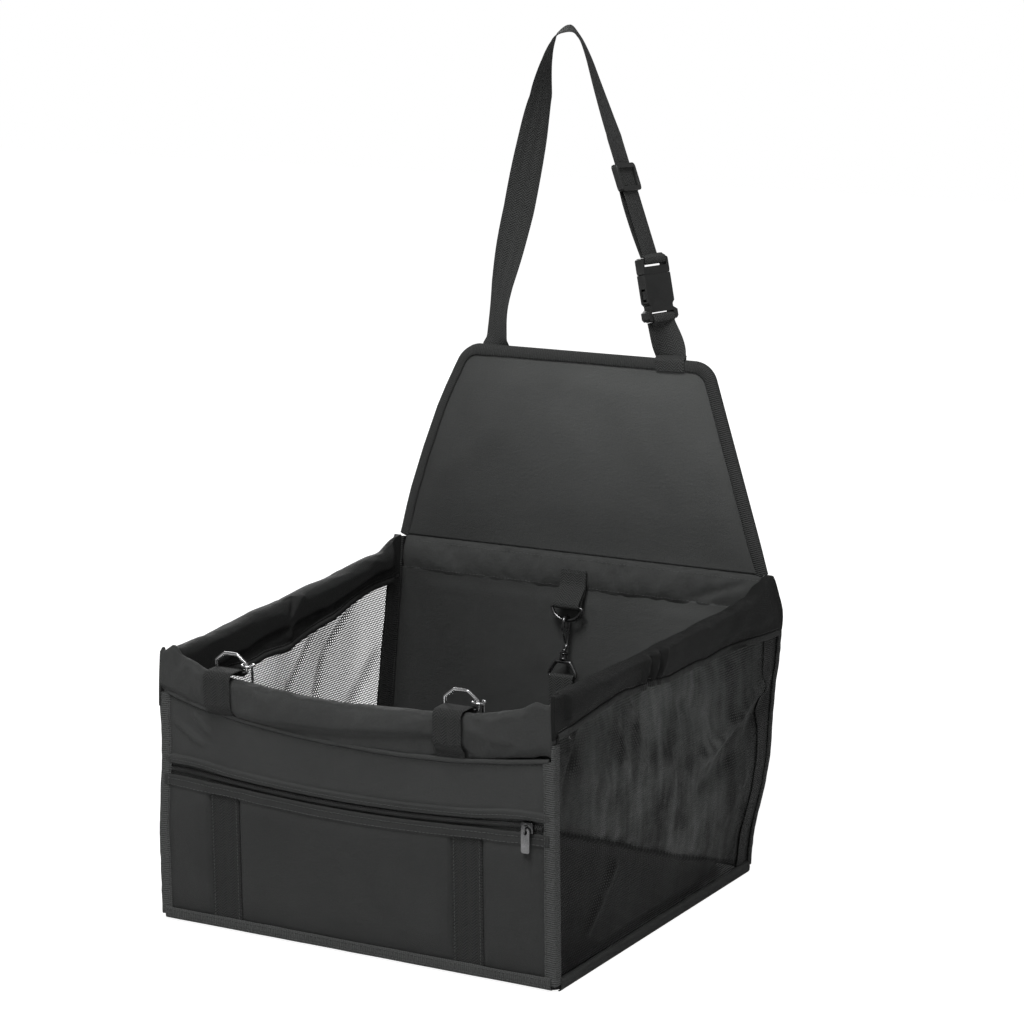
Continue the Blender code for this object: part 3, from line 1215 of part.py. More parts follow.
def make_leash(eye, eye_frame):
    # A closed band of webbing round the eye's bar and the end clip's bar
    wrap = EYE_WIRE + CLEARANCE + WEBBING_THICKNESS / 2
    flat = (WEBBING_THICKNESS + CLEARANCE) / 2
    top_bar = -(EYE_HEIGHT - 2 * EYE_WIRE)
    leash_frame = eye_frame @ Matrix.Translation((0, 0, top_bar))
    leash = add_body_empty("tether_leash_body", leash_frame.translation)
    attach(leash, eye)
    low = -LEASH_LENGTH
    neck = LEASH_LENGTH * LEASH_LOOP_SHARE
    path = [tuple(p) for p in arc((0, 0), wrap, 0, pi, 7)]
    path += [(-flat, -neck), (-flat, low / 2), (-flat, low + neck)]
    path += [tuple(p) for p in arc((0, low), wrap, pi, 2 * pi, 7)]
    path += [(flat, low + neck), (flat, low / 2), (flat, -neck)]
    points = [Vector((0, y, z)) for y, z in path]
    across = [Vector((1, 0, 0))] * len(points)
    mesh = webbing_mesh("tether_leash", points, across, LEASH_WIDTH, WEBBING_THICKNESS, True)
    add_piece("tether_leash", mesh, WEBBING_BLACK, leash_frame, leash)

    # The end clip hangs with its own eye in the band: an eye, a swivel, a bow and a gate
    clip_frame = leash_frame @ Matrix.Translation((0, 0, low))
    clip = add_body_empty("leash_clip_body", clip_frame.translation)
    attach(clip, leash)
    outline = [(p.x, 0, -p.y - (EYE_HEIGHT - 2 * EYE_WIRE)) for p in eye_outline()]
    add_wire("leash_clip_eye", outline, EYE_WIRE, STEEL_DARK, clip_frame, clip, closed=True)
    barrel_top = -(EYE_HEIGHT - 2 * EYE_WIRE) - EYE_WIRE - CLEARANCE
    add_barrel("leash_clip_swivel", clip_frame @ Matrix.Translation((0, 0, barrel_top)), clip)
    start = barrel_top - BARREL_HEIGHT - CLEARANCE
    radius = HOOK_BOW_RADIUS
    spine = start - HOOK_SPINE
    path = [Vector((0, 0, start)), Vector((0, 0, start - HOOK_WIRE)),
            Vector((radius / 2, 0, start - HOOK_WIRE - radius / 4)),
            Vector((radius, 0, start - HOOK_WIRE - radius))]
    path += [Vector((p.x, 0, p.y)) for p in arc((0, spine), radius, 0, -pi, 9)]
    path.append(Vector((-radius, 0, spine + HOOK_TIP)))
    add_wire("leash_clip_hook", path, HOOK_WIRE, STEEL_DARK, clip_frame, clip)
    gate_top = Vector((radius - HOOK_WIRE - GATE_WIRE - CLEARANCE, 0, start - HOOK_WIRE - radius))
    gate_low = Vector((-radius, 0, spine + HOOK_TIP + GATE_GAP + GATE_WIRE))
    gate = add_body_empty("leash_gate_body", clip_frame @ gate_top)
    attach(gate, clip)
    add_wire("leash_clip_gate", [gate_top, gate_low], GATE_WIRE, STEEL_DARK, clip_frame, gate)


remove_everything()
SEAT = new_collection("dog_car_seat")
CUTTERS = new_collection("cutters")


def build_seat():
    root = add_body_empty("seat_box_body", (0, 0, 0))
    front = add_body_empty("front_wall_body", FRONT_FRAME.translation)
    flap = add_body_empty("flap_body", FLAP_FRAME.translation)
    attach(front, root)
    attach(flap, root)
    make_base(root)
    make_rear_wall(root)
    make_sides(root)
    make_front_wall(front)
    make_front_rim(front)
    make_zip_slider(front, *make_zip(front))
    for name, frame in make_front_webbing(front).items():
        ring, clip_frame = make_ring(name, frame, front)
        make_clip(name, clip_frame, ring)
    make_flap(flap)
    make_strap(flap)
    make_strap_return(flap)
    make_glide(flap)
    make_clasp(flap)
    make_strap_tail(flap)
    make_leash(*make_tether(root))


build_seat()
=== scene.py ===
import json
from contextlib import contextmanager
from math import cos, pi, radians, sin, tan

import bmesh
import bpy
import numpy as np
from mathutils import Matrix, Vector
from mathutils.bvhtree import BVHTree

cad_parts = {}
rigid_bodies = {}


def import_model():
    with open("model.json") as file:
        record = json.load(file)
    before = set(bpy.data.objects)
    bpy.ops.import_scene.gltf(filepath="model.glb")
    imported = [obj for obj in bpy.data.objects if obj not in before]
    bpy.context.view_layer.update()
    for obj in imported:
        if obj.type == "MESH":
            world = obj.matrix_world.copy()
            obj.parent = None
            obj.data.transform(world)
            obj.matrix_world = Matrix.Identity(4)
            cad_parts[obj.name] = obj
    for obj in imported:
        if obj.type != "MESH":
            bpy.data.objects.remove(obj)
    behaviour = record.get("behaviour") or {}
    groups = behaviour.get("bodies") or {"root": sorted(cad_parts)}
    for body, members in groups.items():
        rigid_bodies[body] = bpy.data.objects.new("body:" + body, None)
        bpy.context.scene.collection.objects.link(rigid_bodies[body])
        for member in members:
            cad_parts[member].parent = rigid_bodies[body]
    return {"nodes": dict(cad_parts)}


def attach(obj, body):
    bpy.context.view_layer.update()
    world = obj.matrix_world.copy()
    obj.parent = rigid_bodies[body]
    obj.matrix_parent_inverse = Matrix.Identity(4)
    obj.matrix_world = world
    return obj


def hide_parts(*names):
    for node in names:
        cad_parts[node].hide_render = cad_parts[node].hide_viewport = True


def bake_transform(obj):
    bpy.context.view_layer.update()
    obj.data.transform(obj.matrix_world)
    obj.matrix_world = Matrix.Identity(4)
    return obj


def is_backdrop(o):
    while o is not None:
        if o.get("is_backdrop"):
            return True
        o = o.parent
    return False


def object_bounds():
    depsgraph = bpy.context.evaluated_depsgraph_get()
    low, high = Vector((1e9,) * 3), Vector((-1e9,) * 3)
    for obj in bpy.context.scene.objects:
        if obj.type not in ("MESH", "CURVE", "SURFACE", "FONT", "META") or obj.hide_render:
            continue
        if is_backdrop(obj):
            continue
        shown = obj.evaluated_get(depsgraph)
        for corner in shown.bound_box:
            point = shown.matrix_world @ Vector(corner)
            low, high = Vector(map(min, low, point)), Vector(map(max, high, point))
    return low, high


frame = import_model()
bpy.ops.object.select_all(action="DESELECT")
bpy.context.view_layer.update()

GAP = 0.0003
CLOTH = 0.0011
BAND, BAND_THICK, LOOP_BAND = 0.030, 0.0014, 0.0275
WALL_Y, HINGE_Z, SIDE_X = 0.188, 0.0024, 0.198
FOLD_HIGH, FLAP_HIGH = 0.278, 0.192
RIM_HIGH = 0.045
FRONT = Matrix.Translation((0, -WALL_Y, HINGE_Z)) @ Matrix.Rotation(radians(1.2), 4, "X")
REAR = Matrix.Translation((0, WALL_Y, HINGE_Z)) @ Matrix.Rotation(radians(-8), 4, "X")
FLAP = (Matrix.Translation(REAR @ Vector((0, 0, FOLD_HIGH)))
        @ Matrix.Rotation(radians(-3), 4, "X"))
SEAT = bpy.data.collections.new("car_seat_looks")
bpy.context.scene.collection.children.link(SEAT)

# ---------------------------------------------------------------- finishes

def add_node(tree, kind, values=(), **settings):
    node = tree.nodes.new(kind)
    for name, value in settings.items():
        setattr(node, name, value)
    for name, value in dict(values).items():
        if isinstance(value, bpy.types.NodeSocket):
            tree.links.new(value, node.inputs[name])
        else:
            node.inputs[name].default_value = value
    return node


class Finish:
    # A material with its shader, and the cloth's own layout in metres or the place on the object

    def __init__(self, name, on_cloth, roughness, specular, metallic=0.0, sheen=0.0):
        self.material = bpy.data.materials.new(name)
        self.material.use_nodes = True
        self.tree = self.material.node_tree
        self.shader = self.tree.nodes["Principled BSDF"]
        for socket, value in (("Roughness", roughness), ("Metallic", metallic),
                              ("Specular IOR Level", specular), ("Sheen Weight", sheen),
                              ("Sheen Roughness", 0.45)):
            self.shader.inputs[socket].default_value = value
        self.place = self.add("ShaderNodeTexCoord").outputs["UV" if on_cloth else "Object"]
        self.parts = self.add("ShaderNodeSeparateXYZ", {"Vector": self.place}).outputs

    def add(self, kind, values=(), **settings):
        return add_node(self.tree, kind, values, **settings)

    def show(self, value, socket="Base Color"):
        self.tree.links.new(value, self.shader.inputs[socket])

    def sum(self, first, second, operation="ADD"):
        return self.add("ShaderNodeMath", {0: first, 1: second}, operation=operation).outputs[0]

    def times(self, first, second):
        return self.sum(first, second, "MULTIPLY")

    def wave(self, value, pitch):
        turn = self.times(value, 2 * pi / pitch)
        return self.add("ShaderNodeMath", {0: turn}, operation="SINE").outputs[0]

    def noise(self, scale, detail, place=None, **more):
        values = {"Vector": self.place if place is None else place, "Scale": scale, "Detail": detail}
        return self.add("ShaderNodeTexNoise", {**values, **more}).outputs["Fac"]

    def remap(self, value, start, end, first, last, **settings):
        values = {"Value": value, "From Min": start, "From Max": end, "To Min": first, "To Max": last}
        return self.add("ShaderNodeMapRange", values, **settings).outputs["Result"]

    def painted_light_share(self, fade, axes="XY"):
        # Painted light and shade: a share that scales the colour evenly along the cloth's directions
        first, second = [self.remap(self.parts[axis], *row, interpolation_type="SMOOTHSTEP")
                         for axis, row in zip(axes, fade)]
        return self.times(first, second)

    def shades(self, value, colour, spread, low, high, share=None):
        # Darker and lighter shades of a colour, as the value goes from low to high
        ramp = self.add("ShaderNodeValToRGB", {"Fac": value})
        for stop, place, change in zip(ramp.color_ramp.elements, (low, high), (-spread, spread)):
            stop.position = place
            stop.color = (*[c * (1 + change) for c in colour], 1)
        shown = ramp.outputs["Color"]
        # The share, where given, scales the colour with painted light and shade
        if share is not None:
            paint = self.add("ShaderNodeVectorMath", {0: shown, "Scale": share}, operation="SCALE")
            shown = paint.outputs["Vector"]
        self.show(shown)

    def tone(self, colour, spread, coarse, fine, share=None):
        # Colour that drifts a little over the piece, with a finer mottling on it
        both = self.sum(self.times(self.noise(coarse, 3.0), 0.6), self.times(self.noise(fine, 2.0), 0.4))
        self.shades(both, colour, spread, 0.30, 0.70, share)
        return both

    def ribs(self, rib, fine, dark, light, colour):
        # Ribs with shaded hollows, and fuzz that mottles them
        fuzz = self.noise(fine, 2.0)
        mottled = self.times(self.remap(rib, -1.0, 1.0, dark, light), self.sum(fuzz, 0.5))
        paint = self.add("ShaderNodeMix", {"Factor": mottled, "A": (0, 0, 0, 1), "B": (*colour, 1)},
                         data_type="RGBA", clamp_factor=False)
        self.show(paint.outputs["Result"])
        return fuzz

    def relief(self, *layers):
        # Bumps are chained, each with its own depth in metres
        before = {}
        for height, distance in layers:
            bump = self.add("ShaderNodeBump",
                            {"Height": height, "Distance": distance, "Strength": 1.0, **before})
            before = {"Normal": bump.outputs["Normal"]}
        self.show(before["Normal"], "Normal")
        return self.material


def oxford_finish(name, colour, on_cloth=True, pitch=0.0011, rumpled=0.0012, fade=None, gloss=0.22):
    # A plain weave of thick threads with slubs and faint creases
    cloth = Finish(name, on_cloth, 0.62, gloss, sheen=0.03)
    across, up = cloth.parts["X"], cloth.parts["Y" if on_cloth else "Z"]
    if not on_cloth:
        depth = cloth.times(cloth.parts["Y"], 0.83)
        across, up = cloth.sum(across, depth), cloth.sum(up, depth, "SUBTRACT")
    weave = cloth.times(cloth.wave(across, pitch), cloth.wave(up, pitch))
    # A fade, where given, paints light and shade on the colour, lighter and darker along the piece
    cloth.tone(colour, 0.12, 14.0, 650.0, cloth.painted_light_share(fade) if fade else None)
    return cloth.relief((weave, 0.00016), (cloth.noise(420.0, 3.0), 0.00022),
                        (cloth.noise(46.0, 4.0, Roughness=0.55), rumpled))


def webbing_finish(name, colour):
    # A herringbone band with a firmer selvedge
    band = Finish(name, True, 0.74, 0.22, sheen=0.03)
    zigzag = band.sum(band.parts["X"], 0.0047, "PINGPONG")
    rib = band.wave(band.sum(band.parts["Y"], band.times(zigzag, 0.9)), 0.0026)
    fuzz = band.ribs(rib, 900.0, 0.64, 1.28, colour)
    return band.relief((rib, 0.00030), (band.wave(band.parts["X"], 0.00125), 0.00010), (fuzz, 0.00025))


def tape_finish(name, colour):
    # Ribbed binding tape: ribs lie across its length
    tape = Finish(name, True, 0.78, 0.22, sheen=0.04)
    rib = tape.wave(tape.parts["Y"], 0.0019)
    fuzz = tape.ribs(rib, 800.0, 0.80, 1.14, colour)
    return tape.relief((rib, 0.00032), (fuzz, 0.00022))


def net_finish(name, colour, spread):
    # Knitted yarn with painted light and shade: noise patches paint the light and dark where the net
    # gathers, and the side is painted lighter in its middle and darker towards both ends
    net = Finish(name, False, 0.60, 0.14)
    long_way = net.add("ShaderNodeVectorMath", {0: net.place, 1: (1.0, 1.0, 0.16)}, operation="MULTIPLY")
    # Painted light and shade in patches where the net gathers
    gather = net.noise(75.0, 3.0, long_way.outputs["Vector"])
    both = net.sum(net.times(gather, 0.40), net.times(net.noise(13.0, 5.0, Roughness=0.6), 0.60))
    # Painted highlight in the middle of the side, painted shade towards both ends
    share = net.painted_light_share(((-0.17, -0.07, 0.58, 1.30), (0.04, 0.15, 1.0, 0.58)), "YY")
    net.shades(both, colour, spread, 0.39, 0.61, share)
    return net.material


def grained_finish(name, colour, roughness, metallic, grain, depth, spread=0.10):
    # Moulded plastic, wire, foam, board and thread: one tone with a grain on it
    stuff = Finish(name, False, roughness, 0.5, metallic)
    both = stuff.tone(colour, spread, 60.0, grain)
    stuff.show(stuff.remap(both, 0.3, 0.7, max(0.05, roughness - 0.06), roughness + 0.08), "Roughness")
    return stuff.relief((stuff.noise(grain, 3.0), depth))


def grey(value, tint=1.03):
    return (value, value * tint, value * 1.01)


POCKET_CLOTH = oxford_finish("pocket_oxford", grey(0.028))
WALL_CLOTH = oxford_finish("wall_oxford", grey(0.041))
# The lining's colour is painted lighter towards its right and a little towards its top: painted light, with
# painted shade on its left where the walls shade it
LINING_CLOTH = oxford_finish("lining_oxford", grey(0.040), pitch=0.0009, rumpled=0.0008,
                             fade=((-0.16, 0.16, 0.75, 1.60), (0.0, 0.24, 0.95, 1.05)))
# The flap's colour is painted darker towards its left and lighter towards its top: painted shade and
# painted highlight where the lamps fall
FLAP_CLOTH = oxford_finish("flap_oxford", grey(0.070), rumpled=0.0005,
                           fade=((-0.17, 0.02, 0.66, 1.0), (0.02, 0.19, 0.84, 1.26)))
BAND_CLOTH = oxford_finish("band_oxford", grey(0.044), on_cloth=False)
RIM_CLOTH = oxford_finish("rim_oxford", grey(0.036), on_cloth=False, rumpled=0.0018)
SIDE_CLOTH = oxford_finish("side_rim_oxford", grey(0.016), on_cloth=False)
# The right rim's outer face is the side rims' cloth painted darker: painted shade on the face turned away
# from the lamps
SHADED_RIM_CLOTH = oxford_finish("right_rim_oxford", grey(0.0115), on_cloth=False, rumpled=0.0018, gloss=0.08)
PAD_CLOTH = oxford_finish("pad_oxford", grey(0.028), on_cloth=False)
WEBBING = webbing_finish("black_webbing", grey(0.040))
DARK_WEBBING = webbing_finish("front_webbing", grey(0.0235))
TAPE = tape_finish("ribbed_tape", grey(0.060))
FLAP_TAPE = tape_finish("flap_ribbed_tape", grey(0.036))
SIDE_TAPE = tape_finish("side_ribbed_tape", grey(0.024))
NET_YARN = net_finish("net_yarn", grey(0.049), 0.85)
# The lower net's yarn is a darker copy of the same yarn: painted shade below the crease
SHADED_NET_YARN = net_finish("net_yarn_low", grey(0.0075), 0.60)
THREAD = grained_finish("sewing_thread", grey(0.052), 0.60, 0.0, 1500.0, 0.00005, 0.15)
FOAM = grained_finish("grey_foam", grey(0.20), 0.95, 0.0, 700.0, 0.0006, 0.15)
BOARD = grained_finish("stiff_board", grey(0.11), 0.62, 0.0, 300.0, 0.0002, 0.12)
PLASTIC = grained_finish("black_moulding", grey(0.016), 0.36, 0.0, 1400.0, 0.00006, 0.12)
BRIGHT_WIRE = grained_finish("nickel_wire", grey(0.60, 1.0), 0.20, 1.0, 420.0, 0.00003, 0.10)
DARK_WIRE = grained_finish("black_nickel", grey(0.13, 1.0), 0.28, 1.0, 420.0, 0.00004, 0.18)
PULL_WIRE = grained_finish("pull_metal", grey(0.20, 1.0), 0.34, 1.0, 900.0, 0.00012, 0.45)


# ---------------------------------------------------------------- making meshes

def blend01(value):
    value = np.clip(value, 0, 1)
    return value * value * (3 - 2 * value)


def stacked(*parts):
    # Coordinates side by side, spread to one shape
    return np.stack(np.broadcast_arrays(*parts), -1)


def mm(values):
    return np.array(values) / 1000


def placed(matrix, points):
    m = np.array(matrix)
    return np.asarray(points, float) @ m[:3, :3].T + m[:3, 3]


def facing(wall, direction=(0, -1, 0)):
    return np.array(wall.to_3x3() @ Vector(direction))


def row_on(wall, points, direction=(0, -1, 0)):
    # A line for stitches on a wall, with the way out at each point
    return placed(wall, points), np.tile(facing(wall, direction), (len(points), 1))


def soft_noise(x, y, seed=0):
    # Smooth noise from -1 to 1, with hills about one unit apart
    x, y = np.broadcast_arrays(np.asarray(x, float), np.asarray(y, float))
    cell_x, cell_y = np.floor(x), np.floor(y)
    u, v = x - cell_x, y - cell_y
    u, v = u * u * (3 - 2 * u), v * v * (3 - 2 * v)

    def hill(a, b):
        mixed = np.sin(a * 127.1 + b * 311.7 + seed * 17.3) * 43758.5453
        return (mixed - np.floor(mixed)) * 2 - 1

    low = hill(cell_x, cell_y) * (1 - u) + hill(cell_x + 1, cell_y) * u
    high = hill(cell_x, cell_y + 1) * (1 - u) + hill(cell_x + 1, cell_y + 1) * u
    return low * (1 - v) + high * v


def ridge(a, b, *fold):
    # A soft fold along a line that dies away at both ends: its start, end, width and height in mm
    sx, sy, ex, ey, width, height = mm(fold)
    dx, dy = ex - sx, ey - sy
    reach = dx * dx + dy * dy
    t = ((a - sx) * dx + (b - sy) * dy) / reach
    away = np.hypot(a - sx - np.clip(t, 0, 1) * dx, b - sy - np.clip(t, 0, 1) * dy)
    fade = blend01((t + 0.12) / 0.35) * blend01((1.12 - t) / 0.35)
    return height * np.exp(-(away / width) ** 2) * fade


def ridges(a, b, folds):
    return sum(ridge(a, b, *fold) for fold in folds)


def new_piece(name, mesh, material):
    piece = bpy.data.objects.new(name, mesh)
    SEAT.objects.link(piece)
    mesh.materials.clear()
    mesh.materials.append(material)
    return piece


def only(piece):
    bpy.ops.object.select_all(action="DESELECT")
    piece.select_set(True)
    bpy.context.view_layer.objects.active = piece


def finish_with(piece, kind, **settings):
    change = piece.modifiers.new(kind.lower(), kind)
    for name, value in settings.items():
        setattr(change, name, value)
    only(piece)
    bpy.ops.object.modifier_apply(modifier=change.name)


def smooth_edges(piece, angle):
    only(piece)
    bpy.ops.object.shade_smooth_by_angle(angle=radians(angle))


@contextmanager
def edited(mesh):
    bm = bmesh.new()
    bm.from_mesh(mesh)
    yield bm
    bm.to_mesh(mesh)
    bm.free()


def faces_out(mesh):
    with edited(mesh) as bm:
        bmesh.ops.recalc_face_normals(bm, faces=bm.faces)


def new_mesh(name, points, faces, layout=None):
    mesh = bpy.data.meshes.new(name)
    mesh.from_pydata(np.reshape(points, (-1, 3)).tolist(), [], faces)
    if layout is not None:
        mesh.uv_layers.new(name="cloth").data.foreach_set("uv", layout.ravel())
    return mesh


def grid_piece(name, points, material, thickness=CLOTH, layout=None, wall=None, flip=False):
    # points[row, column], in a wall's frame or the object's, laid out by their x and z unless given;
    # the cloth faces row direction turned onto column direction
    points = np.array(points)
    layout = points[..., ::2] if layout is None else np.array(layout)
    if wall is not None:
        points = placed(wall, points)
    if flip:
        points, layout = points[:, ::-1], layout[:, ::-1]
    rows, columns = points.shape[:2]
    index = np.arange(rows * columns).reshape(rows, columns)
    quads = np.stack([index[:-1, :-1], index[:-1, 1:], index[1:, 1:], index[1:, :-1]], -1)
    quads = quads.reshape(-1, 4)
    mesh = new_mesh(name, points, quads.tolist(), layout.reshape(-1, 2)[quads.ravel()])
    mesh.shade_smooth()
    piece = new_piece(name, mesh, material)
    finish_with(piece, "SOLIDIFY", thickness=thickness, offset=-1)
    return piece


def loft_piece(name, rings, along, around, material, closed=False):
    # Rings of equal counts joined in order, with the layout in metres; open ends are capped
    rings = np.asarray(rings, float)
    count, size = rings.shape[:2]
    spans = count if closed else count - 1
    i, j = np.meshgrid(np.arange(spans), np.arange(size), indexing="ij")
    i, j = i.ravel(), j.ravel()
    after, beside = (i + 1) % count, (j + 1) % size
    quads = np.stack([i * size + j, i * size + beside, after * size + beside, after * size + j], -1)
    corners = [np.stack([around[j + a], along[i + b]], -1)
               for a, b in ((0, 0), (1, 0), (1, 1), (0, 1))]
    layout = np.stack(corners, 1).reshape(-1, 2)
    faces = quads.tolist()
    if not closed:
        faces += [list(range(size))[::-1], list(range((count - 1) * size, count * size))]
        layout = np.vstack([layout, np.zeros((2 * size, 2))])
    mesh = new_mesh(name, rings, faces, layout)
    faces_out(mesh)
    piece = new_piece(name, mesh, material)
    smooth_edges(piece, 60)
    return piece


def arc_points(centre, radius, start, end, steps):
    turns = np.linspace(start, end, steps)
    return [(centre[0] + radius * cos(t), centre[1] + radius * sin(t)) for t in turns]


def run_lengths(path, closed=False):
    path = np.asarray(path, float)
    if closed:
        path = np.vstack([path, path[:1]])
    return np.concatenate([[0], np.cumsum(np.linalg.norm(np.diff(path, axis=0), axis=1))])


def evenly(path, lengths, count, to_end=True):
    # A path's points at equal steps, and how far along each is
    at = np.linspace(0, lengths[-1], count, endpoint=to_end)
    return np.stack([np.interp(at, lengths, path[:, k]) for k in range(3)], -1), at


def directions(path, closed=False):
    path = np.asarray(path, float)
    if closed:
        ahead = np.roll(path, -1, 0) - np.roll(path, 1, 0)
    else:
        ahead = np.gradient(path, axis=0)
    return ahead / np.linalg.norm(ahead, axis=1)[:, None]


BAND_STEPS = np.array([-1, -0.985, -0.94, -0.80, -0.4, 0, 0.4, 0.80, 0.94, 0.985, 1])


def band_piece(name, path, across, width, thickness, material, wall=None):
    # Flat webbing with rounded edges; across gives the direction of its width at each point
    path, across = np.asarray(path, float), np.asarray(across, float)
    if wall is not None:
        path, across = placed(wall, path), across @ np.array(wall.to_3x3()).T
    across = across * np.ones((len(path), 1))
    ahead = directions(path)
    across = across - ahead * np.sum(across * ahead, 1)[:, None]
    across /= np.linalg.norm(across, axis=1)[:, None]
    out = np.cross(ahead, across)
    high = np.sqrt(np.clip(1 - np.abs(BAND_STEPS) ** 9, 0, 1)) * thickness / 2
    steps = np.concatenate([BAND_STEPS, BAND_STEPS[-2:0:-1]])
    rise = np.concatenate([high, -high[-2:0:-1]])
    rings = (path[:, None] + across[:, None] * (steps * width / 2)[None, :, None]
             + out[:, None] * rise[None, :, None])
    around = np.concatenate([steps, steps[:1]]) * width / 2
    return loft_piece(name, rings, run_lengths(path), around, material)


def tube_piece(name, path, radius, material, closed=False, ripple=0.0):
    # A round cord; ripple gathers its sleeve along the way
    sides = 12
    path = np.asarray(path, float)
    ahead = directions(path, closed)
    side = np.cross(ahead[0], (0.13, 0.21, 0.97))
    rings = []
    turns = np.linspace(0, 2 * pi, sides, endpoint=False)
    lengths = run_lengths(path, closed)
    for point, forward, length in zip(path, ahead, lengths):
        side = side - forward * side.dot(forward)
        side /= np.linalg.norm(side)
        up = np.cross(forward, side)
        swell = radius * (1 + ripple * soft_noise(length / 0.006, turns * 0.8, 5))
        rings.append(point + side * (np.cos(turns) * swell)[:, None]
                     + up * (np.sin(turns) * swell)[:, None])
    around = np.linspace(0, 2 * pi * radius, sides + 1)
    return loft_piece(name, rings, lengths, around, material, closed)


def join_all(name, pieces):
    only(pieces[0])
    for piece in pieces[1:]:
        piece.select_set(True)
    bpy.ops.object.join()
    pieces[0].name = name
    return pieces[0]


def ring_faces(base, rings, sides):
    # Quads between rings of points, and a cap at each end
    faces = []
    for start in range(base, base + (rings - 1) * sides, sides):
        for c in range(sides):
            d = (c + 1) % sides
            faces.append((start + c, start + d, start + sides + d, start + sides + c))
    last = base + (rings - 1) * sides
    return faces + [tuple(range(base, base + sides))[::-1], tuple(range(last, last + sides))]


def stitch_piece(name, lines, length=0.0030):
    # Rows of short thread capsules; each line is (points, the outward direction at each)
    gap, radius = 0.0009, 0.00034
    shares = np.array([-0.5, -0.36, 0.0, 0.36, 0.5])
    sizes = np.array([0.35, 0.85, 1.0, 0.85, 0.35])
    sinks = np.array([-0.9, -0.1, 0.25, -0.1, -0.9])
    turns = np.linspace(0, 2 * pi, 5, endpoint=False)
    points, faces = [], []
    for path, outward in lines:
        path, outward = np.asarray(path, float), np.asarray(outward, float)
        lengths = run_lengths(path)
        count = max(1, int(lengths[-1] / (length + gap)))
        for k in range(count):
            middle = (k + 0.5) * lengths[-1] / count
            at = np.clip(middle + shares * length, 0, lengths[-1])
            spine = np.stack([np.interp(at, lengths, path[:, c]) for c in range(3)], -1)
            out = np.array([np.interp(middle, lengths, outward[:, c]) for c in range(3)])
            forward = spine[-1] - spine[0]
            forward /= max(np.linalg.norm(forward), 1e-9)
            out -= forward * out.dot(forward)
            out /= max(np.linalg.norm(out), 1e-9)
            side = np.cross(forward, out)
            faces += ring_faces(len(points), 5, 5)
            for place, size, sink in zip(spine, sizes, sinks):
                centre = place + out * radius * sink
                for turn in turns:
                    points.append(centre + (side * cos(turn) + out * sin(turn)) * radius * size)
    mesh = new_mesh(name, points, faces)
    faces_out(mesh)
    mesh.shade_smooth()
    return new_piece(name, mesh, THREAD)


def solid_copy(name, node, material, wire=False):
    # A node's own shape as a welded mesh, with fewer faces
    piece = new_piece(name, frame["nodes"][node].data.copy(), material)
    with edited(piece.data) as bm:
        bmesh.ops.remove_doubles(bm, verts=bm.verts, dist=0.00002)
        if wire:
            bmesh.ops.join_triangles(bm, faces=bm.faces, angle_face_threshold=radians(50),
                                     angle_shape_threshold=radians(60))
        else:
            bmesh.ops.dissolve_limit(bm, angle_limit=radians(1.0), verts=bm.verts, edges=bm.edges)
    return piece


def hard_piece(name, node, body, material, slot, bevel):
    # A moulded or stamped part: its edges are rounded
    piece = solid_copy(name, node, material)
    finish_with(piece, "BEVEL", width=bevel, segments=3, limit_method="ANGLE",
                angle_limit=radians(28), harden_normals=False, use_clamp_overlap=True)
    smooth_edges(piece, 35)
    return settle(piece, body, slot, node)


def wire_piece(name, node, body, material, slot):
    # Bent wire: its facets are rounded off
    piece = solid_copy(name, node, material, wire=True)
    finish_with(piece, "SUBSURF", levels=2, render_levels=2)
    finish_with(piece, "DISPLACE", strength=0.00010, mid_level=0)
    piece.data.shade_smooth()
    settle(piece, body, slot, node)


def settle(piece, body, slot, *nodes):
    if nodes:
        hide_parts(*nodes)
    if body:
        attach(piece, body)
    return piece


def padding(piece, voxel, pressure, slack, reach, held, shrink):
    # The filling: a remeshed skin swells under pressure, held along its seams
    finish_with(piece, "REMESH", mode="VOXEL", voxel_size=voxel, use_smooth_shade=True)
    finish_with(piece, "SMOOTH", factor=0.5, iterations=6)
    finish_with(piece, "DISPLACE", strength=-shrink, mid_level=0)
    mesh = piece.data
    rest = np.empty(len(mesh.vertices) * 3)
    mesh.vertices.foreach_get("co", rest)
    rest = rest.reshape(-1, 3)
    group = piece.vertex_groups.new(name="seams")
    weights = held(rest)
    for k in np.nonzero(weights > 0.02)[0]:
        group.add([int(k)], float(weights[k]), "REPLACE")
    cloth = piece.modifiers.new("cloth", "CLOTH")
    for name, value in dict(quality=6, mass=0.25, tension_stiffness=12, compression_stiffness=12,
                            shear_stiffness=6, bending_stiffness=0.6, use_pressure=True,
                            uniform_pressure_force=pressure, shrink_min=-slack,
                            vertex_group_mass="seams").items():
        setattr(cloth.settings, name, value)
    cloth.settings.effector_weights.gravity = 0
    scene = bpy.context.scene
    for step in range(1, 21):
        scene.frame_set(step)
    graph = bpy.context.evaluated_depsgraph_get()
    moved = np.empty(rest.size)
    piece.evaluated_get(graph).data.vertices.foreach_get("co", moved)
    move = moved.reshape(-1, 3) - rest
    far = np.linalg.norm(move, axis=1)
    move *= (np.minimum(far, reach) / np.maximum(far, 1e-9))[:, None]
    piece.modifiers.remove(cloth)
    piece.vertex_groups.clear()
    mesh.vertices.foreach_set("co", (rest + move).ravel())
    mesh.update()
    scene.frame_set(1)
    finish_with(piece, "SUBSURF", levels=1, render_levels=1)
    piece.data.shade_smooth()


